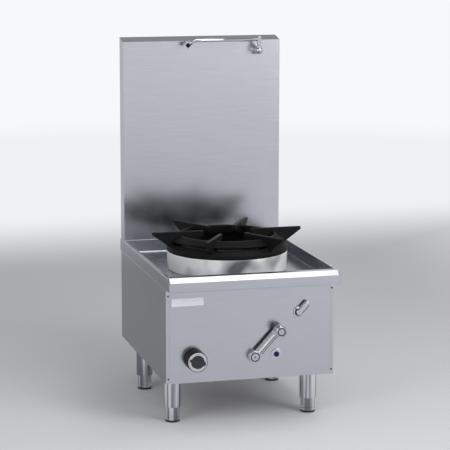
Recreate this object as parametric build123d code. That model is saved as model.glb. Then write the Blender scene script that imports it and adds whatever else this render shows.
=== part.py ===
from build123d import *
from math import cos, pi, radians, sin, sqrt
import os

# Free-standing gas stockpot range. All sizes are in millimetres.
# X runs to the right, Y to the rear and Z up. The origin is on the floor, under the middle of the range.

# Cabinet
cabinet_width = 600
cabinet_depth = 740
cabinet_bottom = 167
hob_height = 545
nosing_reach = 60
panel_sheet = 1.2
panel_gap = 0.3
side_front_flange = 11.5
side_bottom_flange = 12
side_rear_flange = 15
front_panel_return = 20
joggle_lap = 9

# Hob
hob_sheet = 1.5
hob_side_overhang = 3
hob_edge_depth = 47
nosing_slope_depth = 17
nosing_slope_drop = 15
front_rim_width = 27
side_rim_width = 10
hob_corner_radius = 5
nose_bottom_radius = 3
tray_depth = 45
tray_cove = 14

# Air slots in the rear sheets
air_slot_length = 80
air_slot_height = 8
air_slot_spacing = 105
rear_slot_rows = 5
rear_slot_pitch = 22
rear_slot_drop = 30
cover_slot_count = 5
cover_slot_drop = 60

# Splashback
splash_top = 1300
splash_slope_drop = 14
splash_thickness = 62
splash_sheet = 1.2

# Base frame and legs
angle_leg = 30
angle_thickness = 2.5
frame_lift = 2
channel_width = 90
channel_height = 25
leg_side_inset = 52
front_leg_inset = 127
rear_leg_inset = 160
leg_tube_radius = 30
leg_tube_wall = 1.5
leg_tube_bottom = 54
leg_insert_height = 20
leg_plate_size = 76
leg_plate_thickness = 4
leg_bolt_offset = 29
leg_bolt_radius = 3
foot_radius = 25.5
foot_top = 100
foot_wall = 2.5
foot_pad_height = 7
foot_travel = 25
running_clearance = 0.06
cut_margin = 1

# Drum and trivet
drum_centre_inset = 318
drum_radius = 215
drum_height = 66
drum_sheet = 1.5
drum_foot_width = 25
drum_rim_width = 7
drum_bolt_inset = 13
drum_bolt_radius = 3
trivet_ring_radius = 217
trivet_ring_side = 15
trivet_ring_height = 30
trivet_ring_slope = 13
trivet_ring_width = 21
trivet_spigot_depth = 6
trivet_spigot_gap = 1.5
upper_ring_radius = 205
upper_ring_gap = 9
upper_ring_rise = 16
upper_ring_run = 31
upper_ring_thickness = 8
fin_count = 6
fin_thickness = 16
fin_height = 72
fin_tip_radius = 275
fin_tip_face = 9
fin_inner_radius = 88
fin_inner_face = 18

# Burner
burner_ring_height = 37
burner_foot_height = 4.5
outer_ring_radius = 126
outer_ring_width = 28
inner_ring_radius = 62
inner_ring_width = 26
outer_port_count = 24
inner_port_count = 12
port_radius = 3
port_depth = 6
burner_edge = 3
burner_foot_inset = 3
burner_arm_width = 22
burner_arm_height = 18
hub_radius = 36
hub_bottom_drop = 62
mixing_axis_drop = 38
inlet_boss_length = 60
mixing_tube_length = 170
mixing_flange_radius = 34
mixing_flange_thickness = 6
mixing_body_radius = 26
mixing_throat_radius = 19
mixing_mouth_radius = 31
mixing_wall = 3
support_spacing = 70
support_width = 25
support_thickness = 5

# Injector and air shutter
injector_gap = 8
injector_radius = 7
injector_length = 26
injector_jet_radius = 1.4
injector_hexagon_radius = 10
injector_hexagon_length = 5
shutter_radius = 30
shutter_thickness = 3
shutter_windows = 3
shutter_window_start = 13
shutter_window_end = 24
shutter_window_width = 12
holder_size = 26
bracket_thickness = 3

# Pilot group
pilot_angle = 215
pilot_offset = 27
pilot_spacing = 14
pilot_radius = 4
thermocouple_radius = 3
electrode_radius = 3.5
pilot_top_rise = 5
pilot_hood_radius = 5.5
pilot_hood_height = 12
pilot_slot = 4
electrode_tip = 14
electrode_tip_radius = 1.2
pilot_plate_thickness = 3
pilot_stem_drop = 18
lead_radius = 2

# Front controls, measured from the front panel and the floor
control_height = 250
knob_side_inset = 100
knob_radius = 36.5
knob_travel = 4
knob_depth = 41.5
knob_taper = 1.2
knob_wall = 3
knob_ring_outer = 34.7
knob_ring_inner = 23
knob_ring_proud = 1.6
knob_ring_seat = 3
grip_disc_radius = 21
grip_bar_half_length = 28.5
grip_bar_proud = 6
grip_bar_end_width = 10
grip_lobe_radius = 8.5
grip_edge = 0.8
knob_rest_angle = -15
spindle_radius = 4
plug_radius = 10
plug_length = 30
plug_inset = 6
gas_valve_radius = 17
gas_valve_length = 62
gas_valve_neck_radius = 12
gas_valve_neck = 12
magnet_radius = 12
magnet_length = 26
boss_radius = 11
boss_length = 9

lever_x = 9
lever_rest_angle = 47
lever_hub_radius = 21.5
lever_hub_depth = 23
lever_clearance = 4
lever_length = 124
lever_arm_width = 27
lever_arm_thickness = 9
lever_arm_step = 3
lever_grip_radius = 20.5
lever_grip_front = 58
lever_grip_chamfer = 4
lever_cap_radius = 12
lever_cap_proud = 1.5
socket_radius = 3.6

tap_side_inset = 130
tap_height = 396
tap_rest_angle = 47
tap_escutcheon_radius = 18
tap_escutcheon_depth = 7
tap_hub_radius = 12
tap_lever_length = 50
tap_lever_width = 22
tap_lever_thickness = 12
tap_lever_clearance = 1
water_valve_radius = 16
water_valve_length = 46
water_boss_inset = 29
water_neck_radius = 10
water_spindle_radius = 5

igniter_x = 92
igniter_bezel_radius = 20
igniter_bezel_depth = 3
igniter_button_radius = 9
igniter_button_proud = 5
igniter_travel = 4
igniter_button_seat = 7
igniter_body_radius = 12
igniter_body_length = 44

# Pipes
gas_pipe_radius = 9
water_pipe_radius = 7.5
supply_tube_radius = 5
gas_pipe_straight = 3
pipe_bend = 24
small_bend = 18
inlet_inset = 75
inlet_drop = 27
inlet_radius = 10.48
inlet_length = 20
inlet_nut_radius = 14
pipe_wall = 1.5
link_pipe_level = 195
bracket_width = 40
clip_height = 12

# Water spout
spout_side_inset = 95
spout_drop = 48
spout_reach = 52
flange_radius = 19
flange_depth = 9
elbow_radius = 14.5
socket_outer_radius = 11.5
socket_rise = 16
column_radius = 8.5
column_sunk = 2
column_rise = 51.5
spout_tube_radius = 7
spout_tube_rise = 40
spout_length = 249
nozzle_drop = 22
nozzle_run = 27
nozzle_length = 8
nozzle_radius = 8

# Fasteners
screw_radius = 2
screw_head_radius = 3
screw_head_height = 1.5
screw_length = 9
screw_clearance = 0.1
front_screw_inset_side = 8
front_screw_inset_top = 24
front_screw_inset_bottom = 17

# Places worked out from the sizes above
front_y = nosing_reach - (cabinet_depth + nosing_reach) / 2
rear_y = front_y + cabinet_depth
nose_y = front_y - nosing_reach
side_x = cabinet_width / 2
hob_side_x = side_x + hob_side_overhang
leg_x = side_x - leg_side_inset
knob_x = knob_side_inset - side_x
tap_x = side_x - tap_side_inset
front_screw_x = side_x - front_screw_inset_side
hob_edge_z = hob_height - hob_edge_depth
tray_floor_z = hob_height - tray_depth
tray_under_z = tray_floor_z - hob_sheet
tray_side_x = hob_side_x - side_rim_width
tray_front_y = nose_y + nosing_slope_depth + front_rim_width
splash_front_y = rear_y - splash_thickness
drum_y = front_y + drum_centre_inset
frame_z = cabinet_bottom + frame_lift
channel_web_z = frame_z + angle_thickness
leg_ys = {"front": front_y + front_leg_inset, "rear": rear_y - rear_leg_inset}
leg_xs = {"left": -leg_x, "right": leg_x}
drum_top_z = tray_floor_z + drum_height
panel_inner_y = front_y + panel_sheet
mixing_z = tray_under_z - mixing_axis_drop
mixing_start_y = drum_y - inlet_boss_length
mixing_mouth_y = mixing_start_y - mixing_tube_length
injector_tip_y = mixing_mouth_y - injector_gap
holder_y = injector_tip_y - injector_length - holder_size / 2
burner_bottom_z = tray_under_z + burner_foot_height
burner_top_z = burner_bottom_z + burner_ring_height
drum_bolt_circle = drum_radius - drum_bolt_inset
support_bolt_y = sqrt(drum_bolt_circle ** 2 - support_spacing ** 2)
knob_rear_y = front_y - knob_travel - panel_gap
knob_front_y = knob_rear_y - knob_depth
valve_body_front_y = panel_inner_y + gas_valve_neck
valve_rear_y = valve_body_front_y + gas_valve_length
gas_inlet_x = knob_x - gas_valve_radius - boss_length - pipe_bend - gas_pipe_straight
plug_front_y = valve_body_front_y + plug_inset
lever_hub_rear_y = front_y - lever_clearance
lever_hub_front_y = lever_hub_rear_y - lever_hub_depth
water_valve_rear_y = panel_inner_y + water_valve_length
water_axis_y = panel_inner_y + water_boss_inset
inlet_y = rear_y - inlet_inset
inlet_end_z = cabinet_bottom - inlet_drop
pilot_reach = outer_ring_radius + pilot_offset
spout_x = side_x - spout_side_inset
spout_height = splash_top - spout_drop
socket_top = spout_height + socket_rise
column_bottom = spout_height - column_sunk
column_top = spout_height + column_rise
spout_tube_level = spout_height + spout_tube_rise
column_y = splash_front_y - spout_reach
riser_y = rear_y - splash_thickness / 2


def block(x_range, y_range, z_range):
    """A box between three pairs of limits."""
    ranges = (x_range, y_range, z_range)
    size = [high - low for low, high in ranges]
    middle = [(high + low) / 2 for low, high in ranges]
    return Pos(*middle) * Box(*size)


def rod(radius, start, end):
    """A round bar from one point to another."""
    run = Vector(*end) - Vector(*start)
    place = Plane(origin=start, z_dir=run)
    return place * Cylinder(radius, run.length, align=(Align.CENTER, Align.CENTER, Align.MIN))


def rod_along_y(radius, x, z, y_start, y_end):
    """A round bar that runs from front to rear."""
    return rod(radius, (x, y_start, z), (x, y_end, z))


def hole_z(radius, x, y, low, high):
    """A cutting rod that runs up through a sheet and past both its faces."""
    return rod(radius, (x, y, low - cut_margin), (x, y, high + cut_margin))


def hole_y(radius, x, z, front, rear):
    """A cutting rod that runs to the rear through a sheet and past both its faces."""
    return rod_along_y(radius, x, z, front - cut_margin, rear + cut_margin)


def turned(profile):
    """A solid turned about the Z axis from (radius, height) points."""
    outline = Polyline(*[(radius, 0, height) for radius, height in profile], close=True)
    return revolve(make_face(outline), axis=Axis.Z)


def turned_along_y(profile, x, z):
    """A solid turned about a front to rear axis from (radius, y) points."""
    outline = Polyline(*[(radius, y, 0) for radius, y in profile], close=True)
    return Pos(x, 0, z) * revolve(make_face(outline), axis=Axis.Y)


def profile_along_x(points, width):
    """A profile of (y, z) points, drawn out to both sides of the middle."""
    outline = Polyline(*[(0, y, z) for y, z in points], close=True)
    return extrude(make_face(outline), amount=width / 2, dir=(1, 0, 0), both=True)


def pipe(points, bend_radius, radius):
    """A round pipe along straight runs joined by bends."""
    path = FilletPolyline(*points, radius=bend_radius)
    section = Plane(origin=path @ 0, z_dir=path % 0) * Circle(radius)
    return sweep(section, path=path)


def on_circle(count, radius, first_angle=0):
    """Places evenly spaced on a circle about the Z axis."""
    step = 360 / count
    return [Rot(0, 0, first_angle + step * index) * Pos(radius, 0, 0) for index in range(count)]


def hob_top():
    """Pressed top sheet: rim, sloping nosing, side skirts and the spill tray with its round hole."""
    skin_profile = [
        (nose_y, hob_edge_z),
        (nose_y, hob_height - nosing_slope_drop),
        (nose_y + nosing_slope_depth, hob_height),
        (rear_y, hob_height),
        (rear_y, hob_edge_z),
    ]
    outer = profile_along_x(skin_profile, 2 * hob_side_x)
    outer = fillet(hob_corner_edges(outer), hob_corner_radius)
    outer = fillet(nose_bottom_edge(outer), nose_bottom_radius)
    outline = make_face(Polyline(*[(0, y, z) for y, z in skin_profile], close=True))
    inner_face = offset(outline, amount=-hob_sheet, kind=Kind.INTERSECTION)
    inner = extrude(inner_face, amount=hob_side_x - hob_sheet, dir=(1, 0, 0), both=True)
    inner = fillet(hob_corner_edges(inner), hob_corner_radius - hob_sheet)
    inner = fillet(nose_bottom_edge(inner), nose_bottom_radius - hob_sheet)
    inner_x = hob_side_x - hob_sheet
    open_y = (front_y, rear_y - hob_sheet)
    open_bottom = block((-inner_x, inner_x), open_y, (hob_edge_z, hob_edge_z + hob_sheet))
    tray = block(
        (-tray_side_x, tray_side_x),
        (tray_front_y, splash_front_y),
        (tray_floor_z, hob_height + hob_sheet),
    )
    tray = fillet(tray.faces().sort_by(Axis.Z)[0].edges(), tray_cove)
    tray_skin = block(
        (-tray_side_x - hob_sheet, tray_side_x + hob_sheet),
        (tray_front_y - hob_sheet, splash_front_y + hob_sheet),
        (tray_under_z, hob_height),
    )
    tray_skin = fillet(tray_skin.faces().sort_by(Axis.Z)[0].edges(), tray_cove + hob_sheet)
    top = outer - inner - open_bottom + tray_skin - tray
    hole_radius = drum_radius - drum_foot_width
    top -= hole_z(hole_radius, 0, drum_y, tray_under_z, tray_floor_z)
    for x, y in drum_bolt_places():
        top -= hole_z(drum_bolt_radius + screw_clearance, x, y, tray_under_z, tray_floor_z)
    return top - hole_z(water_pipe_radius + panel_gap, spout_x, riser_y, hob_edge_z, hob_height)


def hob_corner_edges(skin):
    """The edges of the hob's skin that run along its two sides: up the nose, over the slope and to the rear."""
    half_width = skin.bounding_box().max.X
    edges = ShapeList()
    for side in (-half_width, half_width):
        edges += skin.edges().filter_by_position(Axis.X, side - panel_gap, side + panel_gap)
    low = skin.bounding_box().min.Z + cut_margin
    rear = skin.bounding_box().max.Y - cut_margin
    return edges.filter_by(lambda edge: edge.center().Z > low and edge.center().Y < rear)


def nose_bottom_edge(skin):
    """The edge along the bottom of the hob's nose, where the sheet folds back to the front panel."""
    return skin.edges().filter_by(Axis.X).group_by(Axis.Z)[0].sort_by(Axis.Y)[0]


def drum_bolt_places():
    """The four bolts that hold the drum, the tray and the burner support bars together."""
    places = []
    for side in (-1, 1):
        for end in (-1, 1):
            places.append((side * support_spacing, drum_y + end * support_bolt_y))
    return places


def front_screw_places():
    """Centres of the four front panel screws."""
    heights = (hob_edge_z - front_screw_inset_top, cabinet_bottom + front_screw_inset_bottom)
    return [(side * front_screw_x, height) for side in (-1, 1) for height in heights]


def side_panel(side):
    """Folded side sheet with front, rear and bottom flanges. Side is -1 for left and 1 for right."""
    inner_x = side_x - panel_sheet
    rear_face_y = rear_y - hob_sheet - panel_sheet
    top_z = hob_height - hob_corner_radius
    flange_top_z = hob_edge_z - panel_gap
    web = block((inner_x, side_x), (front_y, rear_face_y), (cabinet_bottom, top_z))
    flange_z = (cabinet_bottom, flange_top_z)
    front = block((side_x - side_front_flange, side_x), (front_y, panel_inner_y), flange_z)
    rear = block((side_x - side_rear_flange, side_x), (rear_face_y - panel_sheet, rear_face_y), flange_z)
    bottom_range = (cabinet_bottom, cabinet_bottom + panel_sheet)
    bottom_y = (panel_inner_y + 2 * panel_sheet, rear_face_y)
    bottom = block((side_x - side_bottom_flange, side_x), bottom_y, bottom_range)
    panel = web + front + rear + bottom
    for x, z in front_screw_places():
        panel -= hole_y(screw_radius + screw_clearance, abs(x), z, front_y, panel_inner_y)
    for z in rear_screw_heights():
        sheet = (rear_face_y - panel_sheet, rear_face_y)
        panel -= hole_y(screw_radius + screw_clearance, rear_screw_x(), z, *sheet)
    if side < 0:
        panel = mirror(panel, about=Plane.YZ)
    return panel


def rear_screw_x():
    """Distance of the rear panel screws from the middle."""
    return side_x - side_rear_flange / 2


def rear_screw_heights():
    """Heights of the rear panel screws."""
    span = hob_edge_z - cabinet_bottom
    return [cabinet_bottom + share * span for share in (0.15, 0.5, 0.85)]


def front_panel():
    """Front sheet whose edges step back behind the side flanges, with holes for the controls."""
    face_x = side_x - side_front_flange - panel_gap
    lap_x = face_x + joggle_lap
    lap_y = panel_inner_y
    lap_inner_y = lap_y + panel_sheet
    step_x = face_x - panel_sheet
    half = [
        (lap_x, lap_y),
        (face_x, lap_y),
        (face_x, front_y),
    ]
    half_back = [
        (step_x, lap_y),
        (step_x, lap_inner_y),
        (lap_x, lap_inner_y),
    ]
    outline = [(-x, y) for x, y in half] + [(x, y) for x, y in reversed(half)]
    outline += [(x, y) for x, y in reversed(half_back)] + [(-x, y) for x, y in half_back]
    bottom_z = cabinet_bottom + panel_gap
    top_z = hob_edge_z - panel_gap
    face = make_face(Polyline(*[(x, y, bottom_z) for x, y in outline], close=True))
    panel = extrude(face, amount=top_z - bottom_z, dir=(0, 0, 1))
    for z_low in (bottom_z, top_z - panel_sheet):
        return_y = (panel_inner_y, panel_inner_y + front_panel_return)
        panel += block((-step_x, step_x), return_y, (z_low, z_low + panel_sheet))
    for x, z in front_screw_places():
        panel -= hole_y(screw_radius + screw_clearance, x, z, front_y, lap_inner_y)
    necks = [
        (gas_valve_neck_radius, knob_x, control_height),
        (water_neck_radius, lever_x, control_height),
        (igniter_body_radius, igniter_x, control_height),
        (water_neck_radius, tap_x, tap_height),
    ]
    for radius, x, z in necks:
        panel -= hole_y(radius + screw_clearance, x, z, front_y, panel_inner_y)
    return panel


def air_slots(count, y_face, height):
    """A level row of round-ended slots that cut through a sheet from its rear face."""
    first_x = -air_slot_spacing * (count - 1) / 2
    tools = []
    for index in range(count):
        place = Pos(first_x + index * air_slot_spacing, y_face + cut_margin, height) * Rot(90, 0, 0)
        slot = extrude(SlotOverall(air_slot_length, air_slot_height), amount=panel_sheet + 2 * cut_margin)
        tools.append(place * slot)
    return tools


def rear_panel():
    """Flat rear sheet with rows of air slots."""
    rear_face_y = rear_y - hob_sheet
    y_range = (rear_face_y - panel_sheet, rear_face_y)
    panel = block((-side_x, side_x), y_range, (cabinet_bottom, hob_height - hob_corner_radius))
    for row in range(rear_slot_rows):
        height = hob_edge_z - rear_slot_drop - row * rear_slot_pitch
        panel -= air_slots(3, rear_face_y, height)
    for side in (-1, 1):
        for z in rear_screw_heights():
            x = side * rear_screw_x()
            panel -= hole_y(screw_radius + screw_clearance, x, z, *y_range)
    return panel


def splash_profile(inset):
    """Side profile of the splashback, with its sloping top, drawn in by the inset."""
    slope = splash_slope_drop / splash_thickness
    front = splash_front_y + inset
    drop = inset * sqrt(1 + slope ** 2)
    front_z = splash_top - splash_slope_drop + slope * inset - drop
    return [
        (front, hob_height),
        (front, front_z),
        (rear_y, splash_top - drop),
        (rear_y, hob_height),
    ]


def splash_panel():
    """Tall folded box, open at the back and the bottom."""
    shell = profile_along_x(splash_profile(0), 2 * side_x)
    shell -= profile_along_x(splash_profile(splash_sheet), 2 * (side_x - splash_sheet))
    return shell - hole_y(water_pipe_radius + panel_gap, spout_x, spout_height, splash_front_y, riser_y)


def splash_cover():
    """Flat back sheet of the splashback, inside its folded edges, with air slots near the top."""
    half_width = side_x - splash_sheet
    slope = splash_slope_drop / splash_thickness
    top_z = splash_top - splash_sheet * (sqrt(1 + slope ** 2) + slope)
    cover = block((-half_width, half_width), (rear_y - splash_sheet, rear_y), (hob_height, top_z))
    return cover - air_slots(cover_slot_count, rear_y, top_z - cover_slot_drop)


def base_frame():
    """Welded frame: angle rails on the four sides and an upturned channel over each pair of legs."""
    outer_x = side_x - panel_sheet
    front = panel_inner_y + panel_sheet
    back = rear_y - hob_sheet - 2 * panel_sheet
    rim = block((-outer_x, outer_x), (front, back), (frame_z, frame_z + angle_leg))
    inside = angle_thickness
    rim -= block(
        (-outer_x + inside, outer_x - inside),
        (front + inside, back - inside),
        (channel_web_z, frame_z + angle_leg + cut_margin),
    )
    opening = angle_leg
    rim -= block(
        (-outer_x + opening, outer_x - opening),
        (front + opening, back - opening),
        (frame_z - cut_margin, channel_web_z + cut_margin),
    )
    rail_end = outer_x - angle_thickness / 2
    for y in leg_ys.values():
        sides = (y - channel_width / 2, y + channel_width / 2)
        channel = block((-rail_end, rail_end), sides, (frame_z, frame_z + channel_height))
        trough = (sides[0] + angle_thickness, sides[1] - angle_thickness)
        channel -= block((-side_x, side_x), trough, (channel_web_z, frame_z + channel_height + cut_margin))
        rim += channel
    for x, y in leg_bolt_places():
        rim -= hole_z(leg_bolt_radius + screw_clearance, x, y, frame_z, channel_web_z)
    for x, z in front_screw_places():
        rim -= hole_y(screw_radius + screw_clearance, x, z, front, front + screw_length)
    return rim


def leg_bolt_places():
    """Centres of the sixteen bolts that hold the leg plates."""
    places = []
    for leg_y in leg_ys.values():
        for side in leg_xs.values():
            for across in (-leg_bolt_offset, leg_bolt_offset):
                for along in (-leg_bolt_offset, leg_bolt_offset):
                    places.append((side + across, leg_y + along))
    return places


def leg(x, y):
    """Round leg tube with a bolting plate welded on top and a guide ring pressed into its foot."""
    plate_z = frame_z - leg_plate_thickness
    half = leg_plate_size / 2
    plate = block((x - half, x + half), (y - half, y + half), (plate_z, frame_z))
    tube = rod(leg_tube_radius, (x, y, leg_tube_bottom), (x, y, plate_z))
    tube -= rod(leg_tube_radius - leg_tube_wall, (x, y, leg_tube_bottom), (x, y, plate_z))
    ring_top = leg_tube_bottom + leg_insert_height
    ring = rod(leg_tube_radius - leg_tube_wall, (x, y, leg_tube_bottom), (x, y, ring_top))
    ring -= rod(foot_radius + running_clearance, (x, y, leg_tube_bottom), (x, y, ring_top))
    body = plate + tube + ring
    for across in (-leg_bolt_offset, leg_bolt_offset):
        for along in (-leg_bolt_offset, leg_bolt_offset):
            body -= hole_z(leg_bolt_radius + screw_clearance, x + across, y + along, plate_z, frame_z)
    return body


def foot(x, y):
    """Adjustable sleeve that screws down out of the leg."""
    sleeve = rod(foot_radius, (x, y, foot_pad_height), (x, y, foot_top))
    bore_start = foot_pad_height + 2 * foot_wall
    sleeve -= rod(foot_radius - foot_wall, (x, y, bore_start), (x, y, foot_top))
    return sleeve


def foot_pad(x, y):
    """Dark pad under the adjustable sleeve."""
    pad = rod(foot_radius, (x, y, 0), (x, y, foot_pad_height))
    return chamfer(pad.edges().group_by(Axis.Z)[0], foot_pad_height / 5)


def bolt(x, y, z_head, length, radius):
    """Hexagon head bolt that points up from its head, with a nut at the far end."""
    head_height = 1.2 * radius
    hexagon = RegularPolygon(1.75 * radius, 6)
    shape = Pos(x, y, z_head - head_height) * extrude(hexagon, amount=head_height)
    shape += rod(radius, (x, y, z_head - head_height / 2), (x, y, z_head + length + head_height))
    shape += Pos(x, y, z_head + length) * extrude(hexagon, amount=head_height)
    return shape


def frame_bolts():
    """Bolts and nuts of the leg plates, and those through the support bars, the tray and the drum."""
    leg_grip = leg_plate_thickness + angle_thickness
    leg_head_z = frame_z - leg_plate_thickness
    bolts = [bolt(x, y, leg_head_z, leg_grip, leg_bolt_radius) for x, y in leg_bolt_places()]
    drum_grip = support_thickness + hob_sheet + drum_sheet
    drum_head_z = tray_under_z - support_thickness
    bolts += [bolt(x, y, drum_head_z, drum_grip, drum_bolt_radius) for x, y in drum_bolt_places()]
    return Compound(bolts)


def screws(places, y_face, toward_rear):
    """Small round-headed screws, driven into a panel from one side."""
    made = []
    for x, z in places:
        head_y = y_face - toward_rear * screw_head_height
        shank_y = y_face + toward_rear * screw_length
        low, high = sorted((head_y, y_face))
        screw = rod_along_y(screw_head_radius, x, z, low, high)
        outer_ring = screw.edges().filter_by(GeomType.CIRCLE).sort_by(Axis.Y)[0 if toward_rear > 0 else -1]
        screw = chamfer(outer_ring, screw_head_height / 3)
        low, high = sorted((head_y + toward_rear * screw_head_height / 2, shank_y))
        made.append(screw + rod_along_y(screw_radius, x, z, low, high))
    return made


def panel_screws():
    """Four dark screws at the corners of the front panel and six along the sides of the rear panel."""
    rear_places = [(side * rear_screw_x(), z) for side in (-1, 1) for z in rear_screw_heights()]
    front = screws(front_screw_places(), front_y, 1)
    return Compound(front + screws(rear_places, rear_y - hob_sheet, -1))


def drum():
    """Polished ring that stands on the tray, with a foot flange and a turned-in rim."""
    outer = drum_radius
    inner = drum_radius - drum_sheet
    base = tray_floor_z
    shell = turned([
        (outer - drum_foot_width, base),
        (outer, base),
        (outer, drum_top_z),
        (outer - drum_rim_width, drum_top_z),
        (outer - drum_rim_width, drum_top_z - drum_sheet),
        (inner, drum_top_z - drum_sheet),
        (inner, base + drum_sheet),
        (outer - drum_foot_width, base + drum_sheet),
    ])
    shell = Pos(0, drum_y, 0) * shell
    for x, y in drum_bolt_places():
        shell -= hole_z(drum_bolt_radius + screw_clearance, x, y, base, base + drum_sheet)
    return shell


def trivet():
    """Cast pan support: a base ring, a dished upper ring and tall radial fins."""
    base = drum_top_z
    ring_top = base + trivet_ring_height
    bore = trivet_ring_radius - trivet_ring_width
    spigot = drum_radius - drum_rim_width - trivet_spigot_gap
    casting = turned([
        (bore, base - trivet_spigot_depth),
        (spigot, base - trivet_spigot_depth),
        (spigot, base),
        (trivet_ring_radius, base),
        (trivet_ring_radius, base + trivet_ring_side),
        (trivet_ring_radius - trivet_ring_slope, ring_top),
        (bore, ring_top),
    ])
    low = ring_top + upper_ring_gap
    high = low + upper_ring_rise
    inner = upper_ring_radius - upper_ring_run
    casting += turned([
        (upper_ring_radius - upper_ring_thickness, low),
        (upper_ring_radius, low),
        (upper_ring_radius, low + upper_ring_thickness / 2),
        (inner, high + upper_ring_thickness / 2),
        (inner - upper_ring_thickness, high + upper_ring_thickness / 2),
        (inner - upper_ring_thickness, high),
    ])
    fin_top = base + fin_height
    fin_outline = make_face(Polyline(
        (fin_inner_radius, 0, fin_top),
        (fin_tip_radius, 0, fin_top),
        (fin_tip_radius, 0, fin_top - fin_tip_face),
        (trivet_ring_radius, 0, base + trivet_ring_side),
        (trivet_ring_radius - trivet_ring_slope, 0, base + trivet_ring_side / 3),
        (bore, 0, base + trivet_ring_side / 3),
        (fin_inner_radius, 0, fin_top - fin_inner_face),
        close=True,
    ))
    fin = extrude(fin_outline, amount=fin_thickness / 2, both=True)
    for index in range(fin_count):
        casting += Rot(0, 0, 360 / fin_count * index) * fin
    return Pos(0, drum_y, 0) * casting


def burner_ring(radius, width, ports):
    """One gas ring of the burner with a ring of flame ports in its top."""
    edge = burner_edge
    ring = turned([
        (radius - width / 2, burner_bottom_z),
        (radius + width / 2, burner_bottom_z),
        (radius + width / 2, burner_top_z - edge),
        (radius + width / 2 - edge, burner_top_z),
        (radius - width / 2 + edge, burner_top_z),
        (radius - width / 2, burner_top_z - edge),
    ])
    port = Pos(0, 0, burner_top_z - port_depth) * Cylinder(port_radius, 2 * port_depth, align=(
        Align.CENTER, Align.CENTER, Align.MIN))
    for place in on_circle(ports, radius):
        ring -= place * port
    return ring


def burner():
    """Cast double ring burner: hub, arms, two gas rings, feet and the inlet boss."""
    casting = burner_ring(outer_ring_radius, outer_ring_width, outer_port_count)
    casting += burner_ring(inner_ring_radius, inner_ring_width, inner_port_count)
    arm_top = burner_bottom_z + burner_arm_height
    for place in on_circle(4, 0, 45):
        reach = outer_ring_radius
        arm = block((0, reach), (-burner_arm_width / 2, burner_arm_width / 2), (burner_bottom_z, arm_top))
        casting += place * arm
    hub_bottom = tray_under_z - hub_bottom_drop
    casting += rod(hub_radius, (0, 0, hub_bottom), (0, 0, arm_top))
    boss_end = mixing_start_y - drum_y
    casting += rod(mixing_body_radius, (0, 0, mixing_z), (0, boss_end, mixing_z))
    boss_flange = (boss_end, boss_end + mixing_flange_thickness)
    casting += rod(mixing_flange_radius, (0, boss_flange[0], mixing_z), (0, boss_flange[1], mixing_z))
    casting -= rod(mixing_body_radius - mixing_wall, (0, boss_end, mixing_z), (0, 0, mixing_z))
    foot_y = sqrt(outer_ring_radius ** 2 - support_spacing ** 2)
    half = support_width / 2 - burner_foot_inset
    for x in (-support_spacing, support_spacing):
        for y in (-foot_y, foot_y):
            foot_z = (tray_under_z, burner_bottom_z + burner_edge)
            casting += block((x - half, x + half), (y - half, y + half), foot_z)
    return Pos(0, drum_y, 0) * casting


def burner_supports():
    """Two flat bars under the tray that carry the burner across the round hole."""
    bars = []
    z_range = (tray_under_z - support_thickness, tray_under_z)
    reach = support_bolt_y + support_width / 2
    for x in (-support_spacing, support_spacing):
        x_range = (x - support_width / 2, x + support_width / 2)
        bar = block(x_range, (drum_y - reach, drum_y + reach), z_range)
        for bolt_x, bolt_y in drum_bolt_places():
            if bolt_x == x:
                bar -= hole_z(drum_bolt_radius + screw_clearance, bolt_x, bolt_y, *z_range)
        bars.append(bar)
    return Compound(bars)


def mixing_tube():
    """Venturi tube that mixes gas and air, with a flange at the burner and a flared mouth."""
    start = mixing_start_y
    mouth = mixing_mouth_y
    throat = mouth + 0.35 * mixing_tube_length
    outer = [
        (mixing_flange_radius, start),
        (mixing_flange_radius, start - mixing_flange_thickness),
        (mixing_body_radius, start - mixing_flange_thickness),
        (mixing_throat_radius, throat),
        (mixing_mouth_radius, mouth),
    ]
    inner = [(radius - mixing_wall, y) for radius, y in reversed(outer[2:])]
    inner[-1] = (mixing_body_radius - mixing_wall, start)
    return turned_along_y(outer + inner, 0, mixing_z)


def air_shutter():
    """Slotted disc that turns on the injector and sets the air."""
    rear = injector_tip_y - shutter_thickness
    front = rear - shutter_thickness
    disc = rod_along_y(shutter_radius, 0, mixing_z, front, rear)
    disc -= hole_y(injector_radius + running_clearance, 0, mixing_z, front, rear)
    half = shutter_window_width / 2
    cut_range = (front - cut_margin, rear + cut_margin)
    window = block((shutter_window_start, shutter_window_end), cut_range, (-half, half))
    for index in range(shutter_windows):
        disc -= Pos(0, 0, mixing_z) * Rot(0, 360 / shutter_windows * index, 0) * window
    return disc


def injector():
    """Brass gas jet with a fine bore and a hexagon for the spanner."""
    base_y = holder_y + holder_size / 2
    jet = rod_along_y(injector_radius, 0, mixing_z, base_y, injector_tip_y)
    tip = jet.edges().filter_by(GeomType.CIRCLE).sort_by(Axis.Y)[-1]
    jet = chamfer(tip, injector_radius / 3)
    hexagon = extrude(RegularPolygon(injector_hexagon_radius, 6), amount=injector_hexagon_length)
    jet += Pos(0, base_y + injector_hexagon_length, mixing_z) * Rot(90, 0, 0) * hexagon
    return jet - rod_along_y(injector_jet_radius, 0, mixing_z, base_y, injector_tip_y + cut_margin)


def injector_holder():
    """Elbow block that feeds the injector from the side, hung from the tray by a folded strap."""
    half = holder_size / 2
    body = block((-half, half), (holder_y - half, holder_y + half), (mixing_z - half, mixing_z + half))
    body = fillet(body.edges().filter_by(Axis.Y), holder_size / 6)
    body += rod(boss_radius, (-half - boss_length, holder_y, mixing_z), (0, holder_y, mixing_z))
    top = tray_under_z
    strap = block((-half, half), (holder_y - bracket_thickness, holder_y), (mixing_z, top))
    foot_plate = block((-half, half), (holder_y, holder_y + holder_size), (top - bracket_thickness, top))
    return body + strap + foot_plate


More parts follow.
